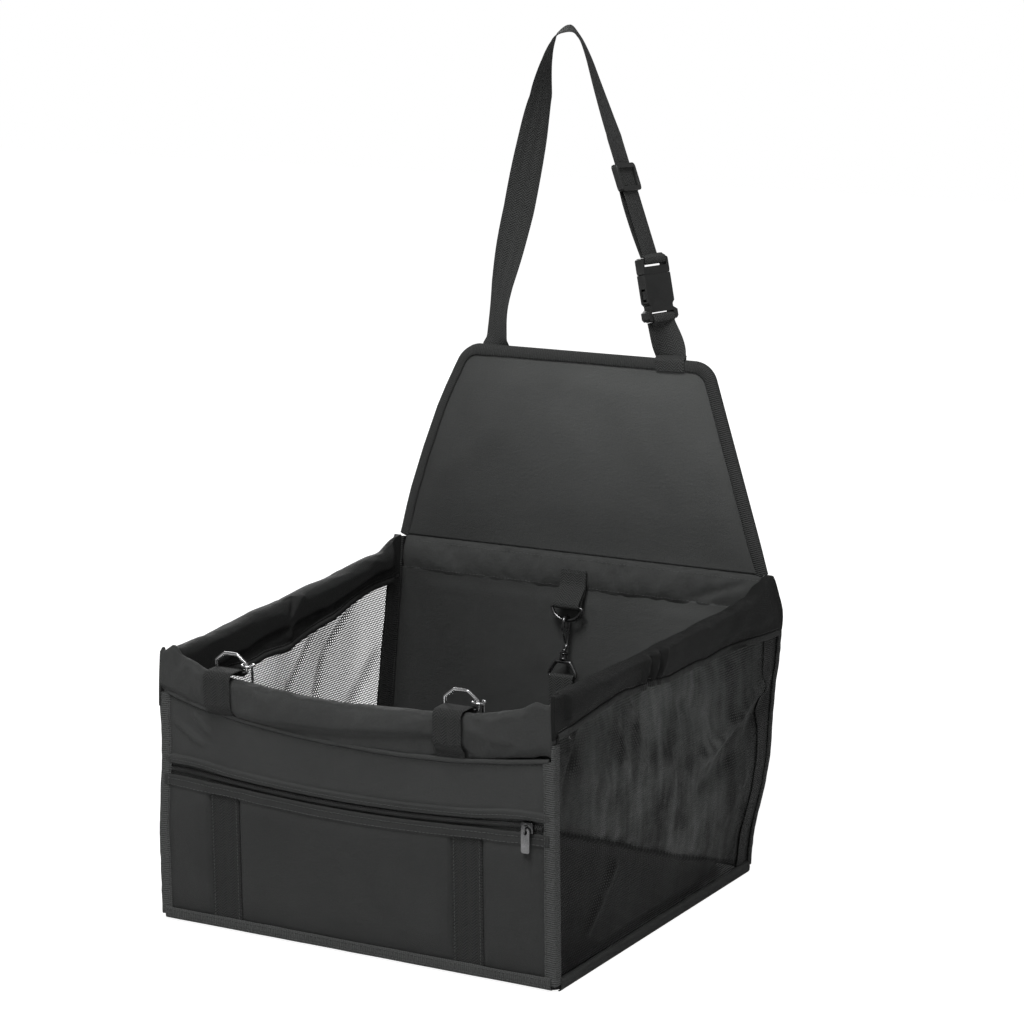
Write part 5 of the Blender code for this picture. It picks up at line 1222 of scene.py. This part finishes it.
# ---------------------------------------------------------------- rear wall

def make_rear_wall():
    x = np.linspace(-0.195, 0.195, 200)
    leans = blend01((x - 0.120) / 0.075)
    heights = np.linspace(0.0022, 0.2450, 112)[:, None]
    edge = blend01((0.195 - np.abs(x)) / 0.020) * blend01((0.2430 - heights) / 0.016)
    folds = (0.5 + 0.5 * soft_noise(x / 0.050 + 0.15 * np.sin(heights / 0.05), heights / 0.22, 71)
             + 0.35 * soft_noise(x / 0.017, heights / 0.16, 72)
             + 0.16 * soft_noise(x / 0.03, heights / 0.03, 73))
    depth = -0.0050 - 0.0026 * np.clip(folds, 0, 2) * edge
    grid = stacked(x + corner_swell(heights) * leans, depth, heights)
    lining = grid_piece("rear_lining_cloth", grid, LINING_CLOTH, layout=stacked(x, heights), wall=REAR)
    settle(lining, "seat_box", "fabric", "rear_lining")
    heights = np.linspace(0.0026, 0.2400, 90)[:, None]
    dent = 0.0007 * (1 + soft_noise(x / 0.06, heights / 0.05, 75)) * blend01((0.195 - np.abs(x)) / 0.03)
    grid = stacked(x + corner_swell(heights) * leans, 0.0020 - dent * 0.4, heights)
    panel = grid_piece("rear_panel_cloth", grid, WALL_CLOTH, layout=stacked(x, heights), wall=REAR,
                       flip=True)
    settle(panel, "seat_box", "fabric", "rear_panel")
    hard_piece("rear_wall_board", "rear_board", "seat_box", BOARD, "board", 0.0008)

    middle_z = 0.2582
    band = solid_copy("rear_band_roll", "rear_band", BAND_CLOTH)
    back = REAR.inverted()

    def held(points):
        z = placed(back, points)[:, 2]
        return blend01((np.abs(z - middle_z) - 0.0130) / 0.003)

    padding(band, 0.0042, 2.5, 0.012, 0.0025, held, 0.0006)
    refit(band, "rear_band", REAR, (0, 2))

    def shape(points, normals):
        local = placed(back, points)
        x, z = local[:, 0], local[:, 2]
        free = blend01((np.abs(x) - 0.016) / 0.010) * blend01((0.196 - np.abs(x)) / 0.02)
        middle = blend01((0.018 - np.abs(z - middle_z)) / 0.008)
        wavy = 0.0012 * soft_noise(x / 0.035, z / 0.03, 81) + 0.0008 * soft_noise(x / 0.012, z / 0.05, 82)
        pucker = 0.0007 * soft_noise(x / 0.0055, z / 0.05, 83)
        wavy = wavy + pucker * blend01((np.abs(z - middle_z) - 0.004) / 0.010)
        wavy = wavy + ridge(x, z, 120, 246, 185, 270, 5, -2.2)
        moved = points + normals * (wavy * free * middle)[:, None]
        local = placed(back, moved)
        near = blend01((0.0205 - np.abs(local[:, 0])) / 0.004)
        local[:, 1] = np.where(near > 0.3, np.maximum(local[:, 1], -0.0093), local[:, 1])
        # Its top edge meets the fold seam's cord and its foot covers the lining's edge
        share = (local[:, 2] - 0.2403) / 0.0356
        local[:, 2] += 0.0012 * blend01((share - 0.8) / 0.2) - 0.0012 * blend01((0.2 - share) / 0.2)
        return placed(REAR, local)

    reshape(band, shape)
    settle(band, "seat_box", "fabric", "rear_band")

    seam = [(a, 0, FOLD_HIGH) for a in np.linspace(-0.1942, 0.1942, 90)]
    cord = tube_piece("fold_seam_cord", placed(REAR, seam), 0.0019, TAPE)
    settle(cord, "seat_box", "webbing", "fold_seam_piping")
    inward = facing(REAR)
    tree = face_tree(band)
    rows = []
    for height in (0.2450, 0.2715):
        line, out = [], []
        for a in np.arange(-0.193, 0.1931, 0.0022):
            if abs(a) < 0.0165 and height > 0.25:
                continue
            start = REAR @ Vector((a, -0.05, height + 0.0003 * sin(a * 400)))
            hit, normal, _, _ = tree.ray_cast(start, Vector(-inward), 0.08)
            if hit is not None:
                line.append(hit)
                out.append(normal)
        rows.append((line, out))
    settle(stitch_piece("band_stitches", rows), "seat_box", "fabric")


# ---------------------------------------------------------------- flap

def flap_half(z):
    return (0.392 - 0.130 * z / FLAP_HIGH) / 2


def flap_side(z, inset, corner=0.022):
    # Half the trapezium's width at a height, drawn in at its rounded top corners
    top, radius = FLAP_HIGH - inset, corner - inset
    over = np.clip(z - (top - radius), 0, radius)
    return flap_half(z) - inset * 1.055 - (radius - np.sqrt(radius * radius - over * over)) * 0.80


def flap_depth(z):
    return 0.0030 + 0.0004 * blend01(np.asarray(z, float) / 0.022)


def flap_waves(x, z):
    waves = 0.0016 * (0.7 + soft_noise(x / 0.085 + z / 0.30, z / 0.075, 91))
    waves = waves + 0.0007 * soft_noise(x / 0.034, z / 0.040, 92)
    waves = waves + ridge(x, z, -150, 60, -80, 120, 12, 0.9)
    waves = waves + ridge(x, z, 40, 140, 110, 60, 14, 0.9)
    edge = blend01((flap_half(z) - 0.004 - np.abs(x)) / 0.028) * blend01((0.186 - z) / 0.03)
    return waves * edge * blend01(z / 0.05)


def make_flap():
    z = np.linspace(-0.0008, FLAP_HIGH - 0.0028, 100)[:, None]
    x = np.linspace(-1, 1, 150) * flap_side(z, 0.0028)
    depths = {"front": -(flap_depth(z) + flap_waves(x, z)),
              "back": flap_depth(z) - 0.0003 * (1 + soft_noise(x / 0.05, z / 0.05, 95))}
    for label, y in depths.items():
        cloth = grid_piece("flap_" + label + "_cloth", stacked(x, y, z), FLAP_CLOTH, wall=FLAP,
                           flip=label == "back")
        settle(cloth, "flap", "flap_fabric", "flap_" + label)
    foam = hard_piece("flap_filling", "flap_foam", "flap", FOAM, "foam", 0.0010)
    make_flap_tape()
    back = FLAP.inverted()

    def fuller(points, normals):
        # The flap's left edge bows out a little
        local = placed(back, points)
        bow = np.interp(local[:, 2], *mm([(-10, 5, 26, 47, 88, 130, 150, 171, 190),
                                          (3.2, 4.2, 6.2, 8.0, 9.0, 8.2, 6.2, 3.2, 0)]))
        local[:, 0] -= bow * blend01((-local[:, 0] / flap_half(local[:, 2]) - 0.30) / 0.65)
        return placed(FLAP, local)

    for name in ("flap_front_cloth", "flap_back_cloth", "flap_filling", "flap_edge_tape", "flap_stitches"):
        reshape(bpy.data.objects[name], fuller)


def flap_edge(count=420):
    # Evenly spaced places on the trapezium's edge with the inward direction at each
    corner, foot = 0.022, -0.0006
    lean = Vector((0.065, 0, FLAP_HIGH)).normalized()
    angle = float(np.arctan2(lean.x, lean.z))
    reach = corner * tan((pi / 2 - angle) / 2)
    right = [(flap_half(foot), foot)]
    right += arc_points((flap_half(FLAP_HIGH) - reach, FLAP_HIGH - corner), corner, angle, pi / 2, 14)
    loop = np.array([(x, 0, z) for x, z in right] + [(-x, 0, z) for x, z in reversed(right)])
    path, at = evenly(loop, run_lengths(loop), count)
    ahead = directions(path)
    return path, stacked(-ahead[:, 2], 0, ahead[:, 0]), at


def make_flap_tape():
    # Ribbed tape folded over the edge, flat on both faces
    path, inward, at = flap_edge()
    section = mm([(8, -3), (7.9, -4.1), (7, -4.5), (4.6, -4.6), (2.2, -4.3), (0.2, -3.6), (-1.2, -2),
                   (-1.6, 0), (-1.2, 2), (0.4, 3.4), (4, 3.8), (8, 3.8), (9, 3.6)])
    lift = 1 - 0.42 * (1 - blend01(path[:, 2] / 0.030))
    wobble = 0.0004 * soft_noise(at / 0.02, 0.5, 101)

    def along(inset, depth, lift, wavy):
        points = path + inward * np.reshape(inset, (-1, 1))
        points[:, 1] = depth * lift - (flap_waves(points[:, 0], points[:, 2]) if wavy else 0)
        return points

    grid = [along(inset + (wobble if inset > 0.005 else 0), depth, lift, depth < -0.002)
            for inset, depth in section]
    layout = stacked(run_lengths(section)[:, None], at)
    tape = grid_piece("flap_edge_tape", grid, FLAP_TAPE, 0.0007, layout, FLAP)
    settle(tape, "flap", "webbing", "flap_binding")
    rows = [row_on(FLAP, along(0.0062, -0.0047, lift, True)),
            row_on(FLAP, along(0.0070, 0.0039, 1, False), (0, 1, 0))]
    settle(stitch_piece("flap_stitches", rows), "flap", "webbing")


# ---------------------------------------------------------------- headrest strap

GLIDE_AT = Vector((0.037, 0.0, FLAP_HIGH + 0.170))
BUCKLE_AT = Vector((0.0655, 0.0, FLAP_HIGH + 0.096))
PEAK_AT = Vector((-0.025, -0.003, FLAP_HIGH + 0.307))
STRAP_BACK = 0.0044


def curve_through(places, samples):
    places = [np.array(p, float) for p in places]
    count = len(places) - 1
    path = []
    for s in range(samples + 1):
        run = count * s / samples
        i = min(int(run), count - 1)
        t = run - i
        p0, p1 = places[max(i - 1, 0)], places[i]
        p2, p3 = places[i + 1], places[min(i + 2, count)]
        path.append((p1 * 2 + (p2 - p0) * t + (p0 * 2 - p1 * 5 + p2 * 4 - p3) * t * t
                     + (p1 * 3 - p0 - p2 * 3 + p3) * t * t * t) / 2)
    return np.array(path)


def turned(turns):
    return np.stack([np.cos(turns), np.sin(turns), np.zeros(len(turns))], -1)


def strand(place, tilt, turn):
    # z runs up the strap, x lies across it, and y points away from its outer face
    up = Vector((-sin(tilt), 0, cos(tilt)))
    across = Vector((cos(turn), sin(turn), 0))
    across = (across - up * across.dot(up)).normalized()
    rotation = Matrix((across, up.cross(across), up)).transposed().to_4x4()
    return FLAP @ Matrix.Translation(place) @ rotation


def make_headrest_strap():
    shares_left = ((0.02, -0.10, 0.14, 0.00), (0.12, 0.15, 0.31, 0.13), (0.24, 0.40, 0.48, 0.26),
                   (0.36, 0.70, 0.63, 0.42), (0.48, 0.95, 0.78, 0.62), (0.62, 1.00, 0.89, 0.82),
                   (0.76, 0.85, 0.96, 0.94), (0.88, 0.50, 0.99, 1.00))
    shares_right = ((0.12, 0.15), (0.26, 0.36), (0.46, 0.46), (0.72, 0.34))
    root_turn, peak_turn, glide_turn, glide_tilt = (radians(a) for a in (-8, 119, 90, 21))
    rise, wide = PEAK_AT.z - FLAP_HIGH, PEAK_AT.x + 0.100
    places = [(-0.100, STRAP_BACK, FLAP_HIGH - 0.045), (-0.100, STRAP_BACK, FLAP_HIGH + 0.0024)]
    turns = [0.0, 0.0]
    for sx, sy, sz, st in shares_left:
        places.append((-0.100 + wide * sx, -0.016 * sy, FLAP_HIGH + rise * sz))
        turns.append(root_turn + (peak_turn - root_turn) * st)
    places.append(tuple(PEAK_AT))
    turns.append(peak_turn)
    entry = GLIDE_AT + Vector((-sin(glide_tilt), 0, cos(glide_tilt))) * 0.0270 * 1.4
    for share, sy in shares_right:
        lift = PEAK_AT.z + (entry.z - PEAK_AT.z) * share ** 1.35
        places.append((PEAK_AT.x + (entry.x - PEAK_AT.x) * share, 0.016 * sy, lift))
        turns.append(peak_turn + (glide_turn - peak_turn) * share)
    path = curve_through(places + [tuple(entry)], 240)
    angles = curve_through([(t, 0, 0) for t in turns + [glide_turn]], 240)[:, 0]
    # Both strands hang a little straighter than the solid's
    high = np.clip((path[:, 2] - FLAP_HIGH) / rise, 0, 1)
    going_up = np.arange(len(path)) < np.argmax(path[:, 2])
    inward = np.interp(high, (0, 0.2, 0.435, 0.67, 0.79, 0.906, 0.96, 1.0),
                       (-0.0012, 0.0020, 0.0086, 0.0118, 0.0130, 0.0078, 0.0044, 0)) * 0.72
    path[:, 0] += np.where(going_up, inward, -0.0046 * np.sin(pi * np.clip((high - 0.68) / 0.32, 0, 1)))
    path[:, 1] += np.where(going_up, inward, 0)
    untwist = radians(20) * blend01(high / 0.03) * blend01((0.45 - high) / 0.4)
    angles = angles - np.where(going_up, untwist, 0)
    length = (GLIDE_AT - BUCKLE_AT).length - 0.0005
    down = np.array((sin(glide_tilt), 0, -cos(glide_tilt)))
    path = np.vstack([path, np.array(GLIDE_AT) + down * length * np.linspace(0, 1, 24)[:, None]])
    across = turned(np.concatenate([angles, np.full(24, glide_turn)]))
    peak = int(np.argmax(path[:, 2]))
    across[:, 2] = 0.21 * np.exp(-((np.arange(len(path)) - peak) / 17) ** 2)
    strap = band_piece("headrest_webbing", path, across, BAND, BAND_THICK, WEBBING, FLAP)
    settle(strap, "flap", "webbing", "headrest_strap")

    # The second layer, between the plug and the adjuster's middle bar
    frame_up = strand(GLIDE_AT, glide_tilt, glide_turn)
    top = -0.0046 / 2 - GAP
    spread = 0.0009 - length - top
    bulges = ((0.0, 0.60), (0.25, 1.0), (0.6, 1.0), (0.85, 0.80), (1.0, 0.62))
    local = curve_through([(0, 0.0046 * b, top + spread * s) for s, b in bulges], 50)
    layer = band_piece("strap_second_layer", local, (1, 0, 0), BAND, BAND_THICK, WEBBING, frame_up)
    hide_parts("strap_return")
    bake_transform(layer)

    # The short strap below the clasp
    frame_low = strand(BUCKLE_AT, radians(12), radians(75))
    to_flap = FLAP.inverted() @ frame_low
    end = np.array(to_flap @ Vector((0, 0, -0.0150 - 0.0440 - 0.0005)))
    sewn, edge = [np.array((0.089, STRAP_BACK, FLAP_HIGH + a)) for a in (-0.045, 0.003)]
    shares = np.linspace(0, 1, 60)[1:, None]
    rising = edge + (end - edge) * shares
    rising[:, 1] = STRAP_BACK + (end[1] - STRAP_BACK) * blend01(shares[:, 0])
    path = np.vstack([sewn + (edge - sewn) * np.linspace(0, 1, 20)[:, None], rising])
    angles = np.concatenate([np.zeros(20), radians(56) * (1 - (1 - shares[:, 0]) ** 1.7)])
    tail = band_piece("clasp_tail_webbing", path, turned(angles), BAND, BAND_THICK, WEBBING, FLAP)
    settle(tail, "flap", "webbing", "strap_tail")

    # Webbing round the bars of the plug and the socket
    half = mm([(-1.4, 3.6), (-3, 2.2), (-5.2, 0.7), (-5.5, -1.8), (-4.7, -4.4), (-2.4, -5.3),
                (0, -5.5), (2.4, -5.3), (4.7, -4.4), (5.5, -1.8), (5.2, 0.6)])
    for name, middle, turn, deep in (("plug", 0.0, 1, 1.0), ("socket", -0.0593, -1, 1.22)):
        local = curve_through([(0, a, middle + turn * (b * deep if b < 0 else b)) for a, b in half], 59)
        wrap = band_piece("webbing_round_" + name, local, (1, 0, 0), 0.0296, 0.0010, WEBBING, frame_low)
        settle(wrap, "flap", "webbing")

    # The short strap's end is folded over the flap's top edge, onto its tape
    fold = [(0.0917, -0.0056, FLAP_HIGH - 0.0086), (0.0915, -0.0058, FLAP_HIGH - 0.0030),
            (0.0910, -0.0050, FLAP_HIGH + 0.0014), (0.0902, -0.0016, FLAP_HIGH + 0.0040),
            (0.0896, 0.0028, FLAP_HIGH + 0.0050)]
    over = band_piece("strap_fold", curve_through(fold, 40), (1, 0, 0), BAND, 0.0012, WEBBING, FLAP)
    settle(over, "flap", "webbing")

    # Sewn boxes where the two ends lie on the flap's back
    lines = []
    left, right, low, high = -0.012, 0.012, 0.150, 0.176
    box = np.array([(left, low), (right, low), (right, high), (left, high), (left, low),
                    (right, high), (right, low), (left, high)])
    steps = np.linspace(0, 1, 12)[:, None]
    for centre in (-0.100, 0.089):
        for start, stop in zip(box, box[1:]):
            x, z = (start + (stop - start) * steps).T
            lines.append(row_on(FLAP, stacked(centre + x, 0.0053, z), (0, 1, 0)))
    settle(stitch_piece("strap_end_stitches", lines), "flap", "webbing")

    hard_piece("adjuster_moulding", "strap_adjuster", "strap_adjuster", PLASTIC, "plastic", 0.0006)
    plug = hard_piece("clasp_plug_moulding", "clasp_plug", "flap", PLASTIC, "plastic", 0.0007)
    from_plug = frame_low.inverted()

    def closed_up(points, normals):
        # The plug's foot meets the socket's top
        local = placed(from_plug, points)
        local[:, 2] -= 0.00026 * (local[:, 2] < -0.0141) * (local[:, 2] > -0.0152)
        return placed(frame_low, local)

    reshape(plug, closed_up)
    hard_piece("clasp_socket_moulding", "clasp_socket", "flap", PLASTIC, "plastic", 0.0007)
    for side in ("left", "right"):
        hard_piece("clasp_prong_moulding_" + side, "clasp_prong_" + side, "prong_" + side, PLASTIC,
                   "plastic", 0.0004)


# ---------------------------------------------------------------- base and tether

def make_base():
    half_x, half_y, corner = 0.1975, 0.1855, 0.0075
    y = np.linspace(half_y, -half_y, 90)
    over = np.clip(np.abs(y) - (half_y - corner), 0, None)
    width = half_x - (corner - np.sqrt(np.clip(corner ** 2 - over ** 2, 0, None)))
    x, y = np.linspace(-width, width, 90), y + np.zeros((90, 1))
    z = 0.0001 + 0.0002 * (1 + soft_noise(x / 0.05, y / 0.05, 111))
    grid, layout = stacked(x, y, z), stacked(x, y)
    cover = grid_piece("base_cloth", grid.swapaxes(0, 1)[::-1, ::-1], WALL_CLOTH,
                       layout=layout.swapaxes(0, 1)[::-1, ::-1])
    settle(cover, "seat_box", "fabric", "base_cover")
    hard_piece("base_stiffener", "base_board", "seat_box", BOARD, "board", 0.0008)
    pad = solid_copy("floor_cushion", "floor_pad", PAD_CLOTH)

    def held(points):
        x, y, z = points.T
        side = np.minimum(0.192 - np.abs(x), np.minimum(y + 0.165, 0.178 - y))
        return np.maximum(blend01((0.0080 - z) / 0.003), blend01((0.004 - side) / 0.004))

    padding(pad, 0.0060, 3.0, 0.040, 0.0040, held, 0.0012)
    settle(pad, "seat_box", "fabric", "floor_pad")
    loop = []
    for cx, cy, start in ((1, -1, -pi / 2), (1, 1, 0), (-1, 1, pi / 2), (-1, -1, pi)):
        loop += arc_points((0.190 * cx, 0.178 * cy), 0.010, start, start + pi / 2, 12)
    loop = np.array([(a, b, HINGE_Z) for a, b in loop + loop[:1]])
    path, _ = evenly(loop, run_lengths(loop), 700, False)
    cord = tube_piece("base_edge_cord", path, 0.0022, SIDE_TAPE, closed=True, ripple=0.05)
    settle(cord, "seat_box", "fabric", "base_piping")


def make_tether():
    stand, bar_z = -0.0200, 0.2280
    wrap = 0.0019 + GAP + 0.0007
    face, step = -0.0010 - 0.0085 - GAP - 0.0007, 0.0017
    foot, top = 0.240, 0.2620
    middle = (top + foot) / 2
    path = [(face, top), (face, middle), (face, foot + wrap), (stand + wrap, bar_z + wrap)]
    path += arc_points((stand, bar_z), wrap, 0, -pi, 13)
    path += [(stand - wrap, bar_z + wrap), (face - step, foot + 2 * wrap), (face - step, middle),
             (face - step, top)]
    tab = band_piece("tether_webbing_tab", [(0, a, b) for a, b in path], (1, 0, 0), LOOP_BAND, BAND_THICK,
                     WEBBING, REAR)
    settle(tab, "seat_box", "webbing", "tether_tab")
    across = np.linspace(-0.0115, 0.0115, 14)
    lines = [row_on(REAR, stacked(across, face - step - 0.0010, height)) for height in (0.2500, 0.2590)]
    settle(stitch_piece("tab_stitches", lines), "seat_box", "webbing")
    wire_piece("dee_wire", "tether_dee", "tether_dee", DARK_WIRE, "bright_steel")
    wire_piece("snap_hook_wire", "tether_hook", "tether_hook", DARK_WIRE, "dark_steel")
    wire_piece("snap_hook_gate", "tether_gate", "tether_gate", DARK_WIRE, "dark_steel")
    hard_piece("snap_hook_swivel", "tether_swivel", "tether_hook", DARK_WIRE, "dark_steel", 0.0002)
    wire_piece("tether_eye_wire", "tether_eye", "tether_eye", DARK_WIRE, "dark_steel")
    leash = solid_copy("leash_webbing", "tether_leash", WEBBING)
    finish_with(leash, "BEVEL", width=0.0004, segments=2, limit_method="ANGLE", angle_limit=radians(40))
    smooth_edges(leash, 40)
    layers = leash.data.uv_layers
    layout = layers[0] if layers else layers.new(name="cloth")
    for loop in leash.data.loops:
        point = leash.data.vertices[loop.vertex_index].co
        layout.data[loop.index].uv = (point.x, point.z)
    settle(leash, "tether_leash", "webbing", "tether_leash")
    wire_piece("leash_clip_eye_wire", "leash_clip_eye", "leash_clip", DARK_WIRE, "dark_steel")
    hard_piece("leash_clip_barrel", "leash_clip_swivel", "leash_clip", DARK_WIRE, "dark_steel", 0.0002)
    wire_piece("leash_clip_wire", "leash_clip_hook", "leash_clip", DARK_WIRE, "dark_steel")
    wire_piece("leash_clip_catch", "leash_clip_gate", "leash_gate", DARK_WIRE, "dark_steel")


def make_rim_hardware():
    for side in ("left", "right"):
        wire_piece("rim_ring_wire_" + side, "rim_ring_" + side, "ring_" + side, BRIGHT_WIRE, "bright_steel")
        wire_piece("rim_clip_wire_" + side, "rim_clip_" + side, "clip_" + side, BRIGHT_WIRE, "bright_steel")
        wire_piece("rim_clip_catch_" + side, "clip_gate_" + side, "clip_gate_" + side, DARK_WIRE,
                   "dark_steel")


# ---------------------------------------------------------------- stage

WORLD_LEVEL = 0.22


def bare_tree(owner):
    # An owner's node tree with nothing in it, and the light path's camera share
    owner.use_nodes = True
    owner.node_tree.nodes.clear()
    return owner.node_tree, owner.node_tree.nodes.new("ShaderNodeLightPath").outputs["Is Camera Ray"]


def aimed(thing, place, target):
    bpy.context.scene.collection.objects.link(thing)
    thing.location = place
    thing.rotation_euler = (Vector(target) - thing.location).to_track_quat("-Z", "Y").to_euler()


def add_lamp(name, place, target, size, power):
    light = bpy.data.lights.new(name, "AREA")
    light.shape = "DISK"
    light.size = size
    light.energy = power
    aimed(bpy.data.objects.new(name, light), place, target)


def make_stage():
    scene = bpy.context.scene
    scene.view_settings.view_transform = "Standard"
    lens = bpy.data.cameras.new("photo_lens")
    lens.lens, lens.sensor_width = 112.5, 36
    scene.camera = bpy.data.objects.new("photo_camera", lens)
    aimed(scene.camera, (1.4126, -2.4362, 0.9309), (0.051, 0, 0.363))

    # The camera sees a white room, and the seat a dimmer one
    scene.world = bpy.data.worlds.new("white_room")
    tree, seen = bare_tree(scene.world)
    share = add_node(tree, "ShaderNodeMath", {0: seen, 1: 1 - WORLD_LEVEL}, operation="MULTIPLY")
    strength = add_node(tree, "ShaderNodeMath", {0: share.outputs[0], 1: WORLD_LEVEL}, operation="ADD")
    sky = add_node(tree, "ShaderNodeBackground",
                   {"Color": (1, 1, 1, 1), "Strength": strength.outputs[0]})
    add_node(tree, "ShaderNodeOutputWorld", {"Surface": sky.outputs[0]})

    add_lamp("key", (0.15, -1.30, 2.40), (0, 0, 0.25), 1.2, 60)
    add_lamp("fill", (2.3, -1.0, 1.3), (0, 0, 0.2), 1.5, 5.5)
    add_lamp("back", (-1.9, 2.5, 1.1), (0, 0, 0.3), 1.6, 26)

    bpy.ops.mesh.primitive_plane_add(size=12, location=(0, 0, -0.0004))
    floor = bpy.context.active_object
    floor.name = "studio_floor"
    material = bpy.data.materials.new("white_floor")
    tree, seen = bare_tree(material)
    shown = add_node(tree, "ShaderNodeBsdfDiffuse", {"Color": (0.36, 0.36, 0.36, 1)})
    glow = add_node(tree, "ShaderNodeEmission", {"Color": (1, 1, 1, 1), "Strength": 0.93})
    both = add_node(tree, "ShaderNodeAddShader", {0: shown.outputs[0], 1: glow.outputs[0]})
    plain = add_node(tree, "ShaderNodeBsdfDiffuse", {"Color": (0.8, 0.8, 0.8, 1)})
    mix = add_node(tree, "ShaderNodeMixShader", {"Fac": seen, 1: plain.outputs[0], 2: both.outputs[0]})
    add_node(tree, "ShaderNodeOutputMaterial", {"Surface": mix.outputs[0]})
    floor.data.materials.append(material)
    floor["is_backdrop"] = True


make_stage()
make_front_panels()
make_front_inside()
make_front_rim()
make_zip()
make_front_webbing()
make_rim_hardware()
make_foot_tape()
for side, name in ((-1, "left"), (1, "right")):
    make_side_foot(side, name)
    node = "front_corner_binding_" + name
    top = float(welt_height(side * 0.196)) - 0.0012
    high = max(top, 0.2140 if name == "right" else 0.0)
    corner_tape(node + "_tape", FRONT, side, (0.0030, high, top), "front_wall", node, TAPE)
    node = "rear_corner_binding_" + name
    corner_tape(node + "_tape", REAR, side, (0.0040, 0.2740, 0.2740), "seat_box", node, SIDE_TAPE)
for side, name in ((-1, "left"), (1, "right")):
    make_net(side, name, True)
    make_net(side, name, False)
    make_net_edge(side, name)
    make_side_rim(side, name)
make_rear_wall()
make_flap()
make_headrest_strap()
make_base()
make_tether()

CORNER_LEAN = mm([(0, 90, 108, 127, 145.5, 164, 183, 201.5, 220, 238.5, 260),
                  (0, -0.6, 1.0, 2.4, 4.2, 5.0, 4.6, 5.2, 6.2, 7.2, 7.8)])


def draw_in(points, normals):
    # The front left corner leans in towards its top
    share = blend01((-0.150 - points[:, 0]) / 0.044) * blend01((-0.070 - points[:, 1]) / 0.110)
    moved = points.copy()
    moved[:, 0] += np.interp(points[:, 2], *CORNER_LEAN) * share
    return moved


for piece in SEAT.objects:
    if not piece.name.startswith("base") and min(c[0] for c in piece.bound_box) < -0.150:
        reshape(piece, draw_in)

low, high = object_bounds()
